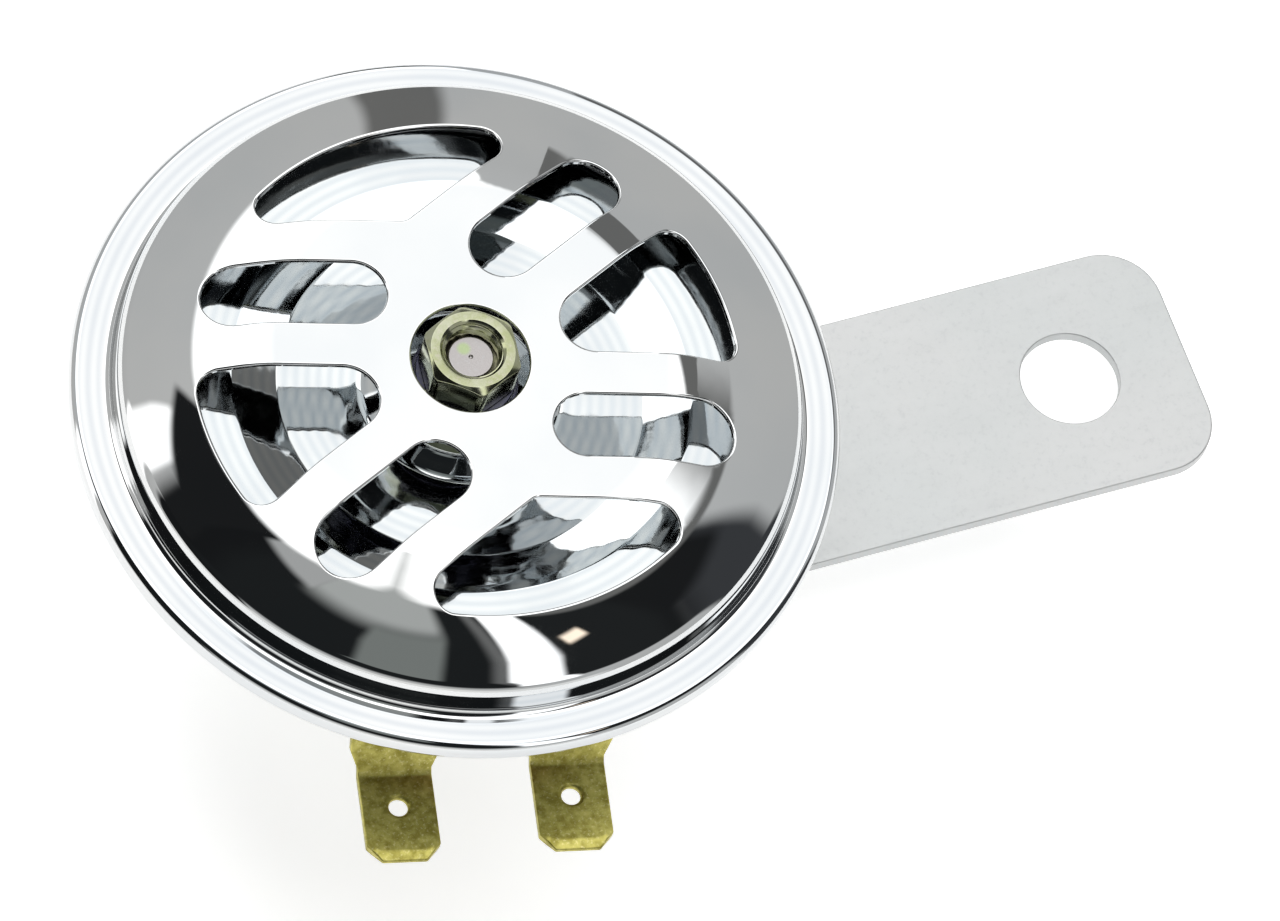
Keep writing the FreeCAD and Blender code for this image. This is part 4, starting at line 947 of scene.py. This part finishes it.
def floorPiece(s):
    # A wide disc at the height of the lowest point: x = reach cos(angle), y = reach sin(angle).
    low = min(corner[2] for corner in cadBounds) / mm
    loop = circle(s["floorReach"], count=96)
    points = np.stack([loop.real, loop.imag, np.full(len(loop), low)], axis=1)
    mesh = bpy.data.meshes.new("floor")
    mesh.from_pydata((points * mm).tolist(), [], [list(range(len(loop)))])
    piece = bpy.data.objects.new("floor", mesh)
    bpy.context.scene.collection.objects.link(piece)
    finish = startFinish("paleFloor")
    cloud = finish.noise(finish.where, 3.0, 2.0)
    colour = finish.mix(cloud.ramp(0.3, 0.7), s["floorDark"], s["floorLight"])
    glow = {"Emission_Color": (1.0, 1.0, 1.0, 1.0), "Emission_Strength": s["floorGlow"]}
    mesh.materials.append(closeFinish(finish, colour, 0.9, 0.0, **glow))


floorPiece(studio)

# Each card is a patch of the surroundings: bearings from the photograph's side (anticlockwise), heights, lean
# (degrees of bearing for each degree of height), soft edge and light. Later cards lie over earlier ones, and the
# white panel overhead lies over all of them. Its lower edge is given as bearings and heights. farPatch is the dimmer
# part of the panel behind the horn: the bearings and heights between which it comes in and goes out.
cards = [
    (-60.0, 60.0, -20.0, 12.0, 0.0, 4.0, (1.05, 1.05, 1.03)),
    (-64.0, -30.0, 9.0, 90.0, -0.3, 2.0, (0.012, 0.013, 0.014)),
    (-56.0, 44.0, 24.0, 90.0, 0.0, 6.0, (0.016, 0.018, 0.019)),
    (44.0, 94.0, 34.0, 90.0, 0.0, 4.0, (0.02, 0.022, 0.023)),
    (92.0, 117.0, -16.0, 90.0, 0.0, 3.0, (0.055, 0.058, 0.063)),
    (88.0, 114.0, 40.0, 90.0, 0.0, 3.0, (0.015, 0.016, 0.017)),
    (-106.0, -66.0, 45.0, 90.0, 0.0, 1.5, (0.015, 0.016, 0.017)),
    (-36.0, 26.0, 66.0, 90.0, 0.0, 4.0, (0.52, 0.54, 0.53)),
    (-26.0, 4.0, 51.0, 66.0, 0.35, 2.5, (0.24, 0.26, 0.25)),
    (-63.0, -34.0, 66.0, 90.0, 0.0, 1.5, (0.50, 0.51, 0.51)),
    (36.0, 52.0, 28.0, 90.0, 0.17, 1.5, (1.9, 1.9, 1.9)),
    (66.0, 73.0, 54.3, 57.8, 0.0, 1.0, (1.8, 1.5, 1.2)),
    (-89.0, -74.0, -4.0, 44.5, -0.24, 1.5, (1.9, 1.9, 1.9)),
    (225.0, 300.0, 12.0, 90.0, -2.3, 2.0, (0.19, 0.19, 0.185)),
    (-169.0, -160.5, -5.0, 22.0, 0.0, 1.0, (0.19, 0.19, 0.185)),
]
panelEdge = [
    (-180, 57.0), (-176, 50.0), (-171, 25.0), (-160, 22.0), (-149, 28.0), (-130, 39.5), (-106, 53.5), (-84, 63.7),
    (-48, 74.0), (0, 80.5), (48, 75.0), (70, 71.0), (84, 66.0), (110, 54.0), (132, 43.5), (162, 50.0), (180, 57.0),
]


def surroundings(s):
    world = bpy.data.worlds.new("softStudio")
    world.use_nodes = True
    finish = Finish(world.node_tree)
    way = finish.add("ShaderNodeTexCoord", output="Generated")
    parts = finish.add("ShaderNodeSeparateXYZ", {}, {0: way})
    x, y, z = (Field(finish, parts.socket.node.outputs[k]) for k in range(3))
    height = z.math("ARCSINE") * (180 / math.pi)
    bearing = y.math("ARCTAN2", x) * (180 / math.pi) - s["towardsCamera"]
    bearing = (bearing + 180.0).math("FLOORED_MODULO", 360.0) - 180.0
    stops = [(spot / 360 + 0.5, (rise / 90,) * 3) for spot, rise in panelEdge]
    panel = finish.add("ShaderNodeValToRGB", {"stops": stops}, {0: bearing / 360 + 0.5}) * 90
    light = finish.mix(height.ramp(0.0, s["wallTop"]), s["wallLow"], s["wallHigh"])
    for left, right, low, high, lean, soft, colour in cards:
        leaning = bearing - height * lean
        mask = leaning.ramp(left - soft, left + soft) * (1 - leaning.ramp(right - soft, right + soft))
        mask = mask * height.ramp(low - soft, low + soft) * (1 - height.ramp(high - soft, high + soft))
        light = finish.mix(mask, light, colour)
    near, behind, foot, bottom, top, head = s["farPatch"]
    far = (bearing * bearing).ramp(near**2, behind**2) * height.ramp(foot, bottom) * (1 - height.ramp(top, head))
    panelLight = finish.mix(far, s["panelLight"], s["panelFar"])
    light = finish.mix((height - panel).ramp(*s["panelSoft"]), light, panelLight)
    background = world.node_tree.nodes["Background"]
    finish.feed(background.inputs["Color"], light)
    bpy.context.scene.world = world


surroundings(studio)

view = {
    "bearing": -37.10, "height": 60.37, "roll": 18.70, "distance": 2000.0, "lens": 669.03,
    "target": (-30.35, 0.0, 15.0), "slide": (-10.703, -6.137), "sensor": 36.0, "clip": (0.05, 20.0),
}


def photoCamera(v):
    bearing, height, roll = (math.radians(v[key]) for key in ("bearing", "height", "roll"))
    flat = math.cos(height)
    back = np.array([math.sin(bearing) * flat, -math.cos(bearing) * flat, math.sin(height)])
    level = unit(np.cross([0, 0, 1], back))
    rise = np.cross(back, level)
    right = math.cos(roll) * level + math.sin(roll) * rise
    up = math.cos(roll) * rise - math.sin(roll) * level
    place = np.array(v["target"]) + back * v["distance"] + right * v["slide"][0] + up * v["slide"][1]
    data = bpy.data.cameras.new("photoCamera")
    data.lens, data.sensor_width = v["lens"], v["sensor"]
    data.clip_start, data.clip_end = v["clip"]
    camera = bpy.data.objects.new("photoCamera", data)
    rows = [[*row, spot * mm] for row, spot in zip(np.stack([right, up, back], 1), place)]
    camera.matrix_world = Matrix(rows + [[0, 0, 0, 1]])
    bpy.context.scene.collection.objects.link(camera)
    bpy.context.scene.camera = camera


photoCamera(view)
bpy.context.scene.view_settings.view_transform = "Standard"
print("stage and camera ready")
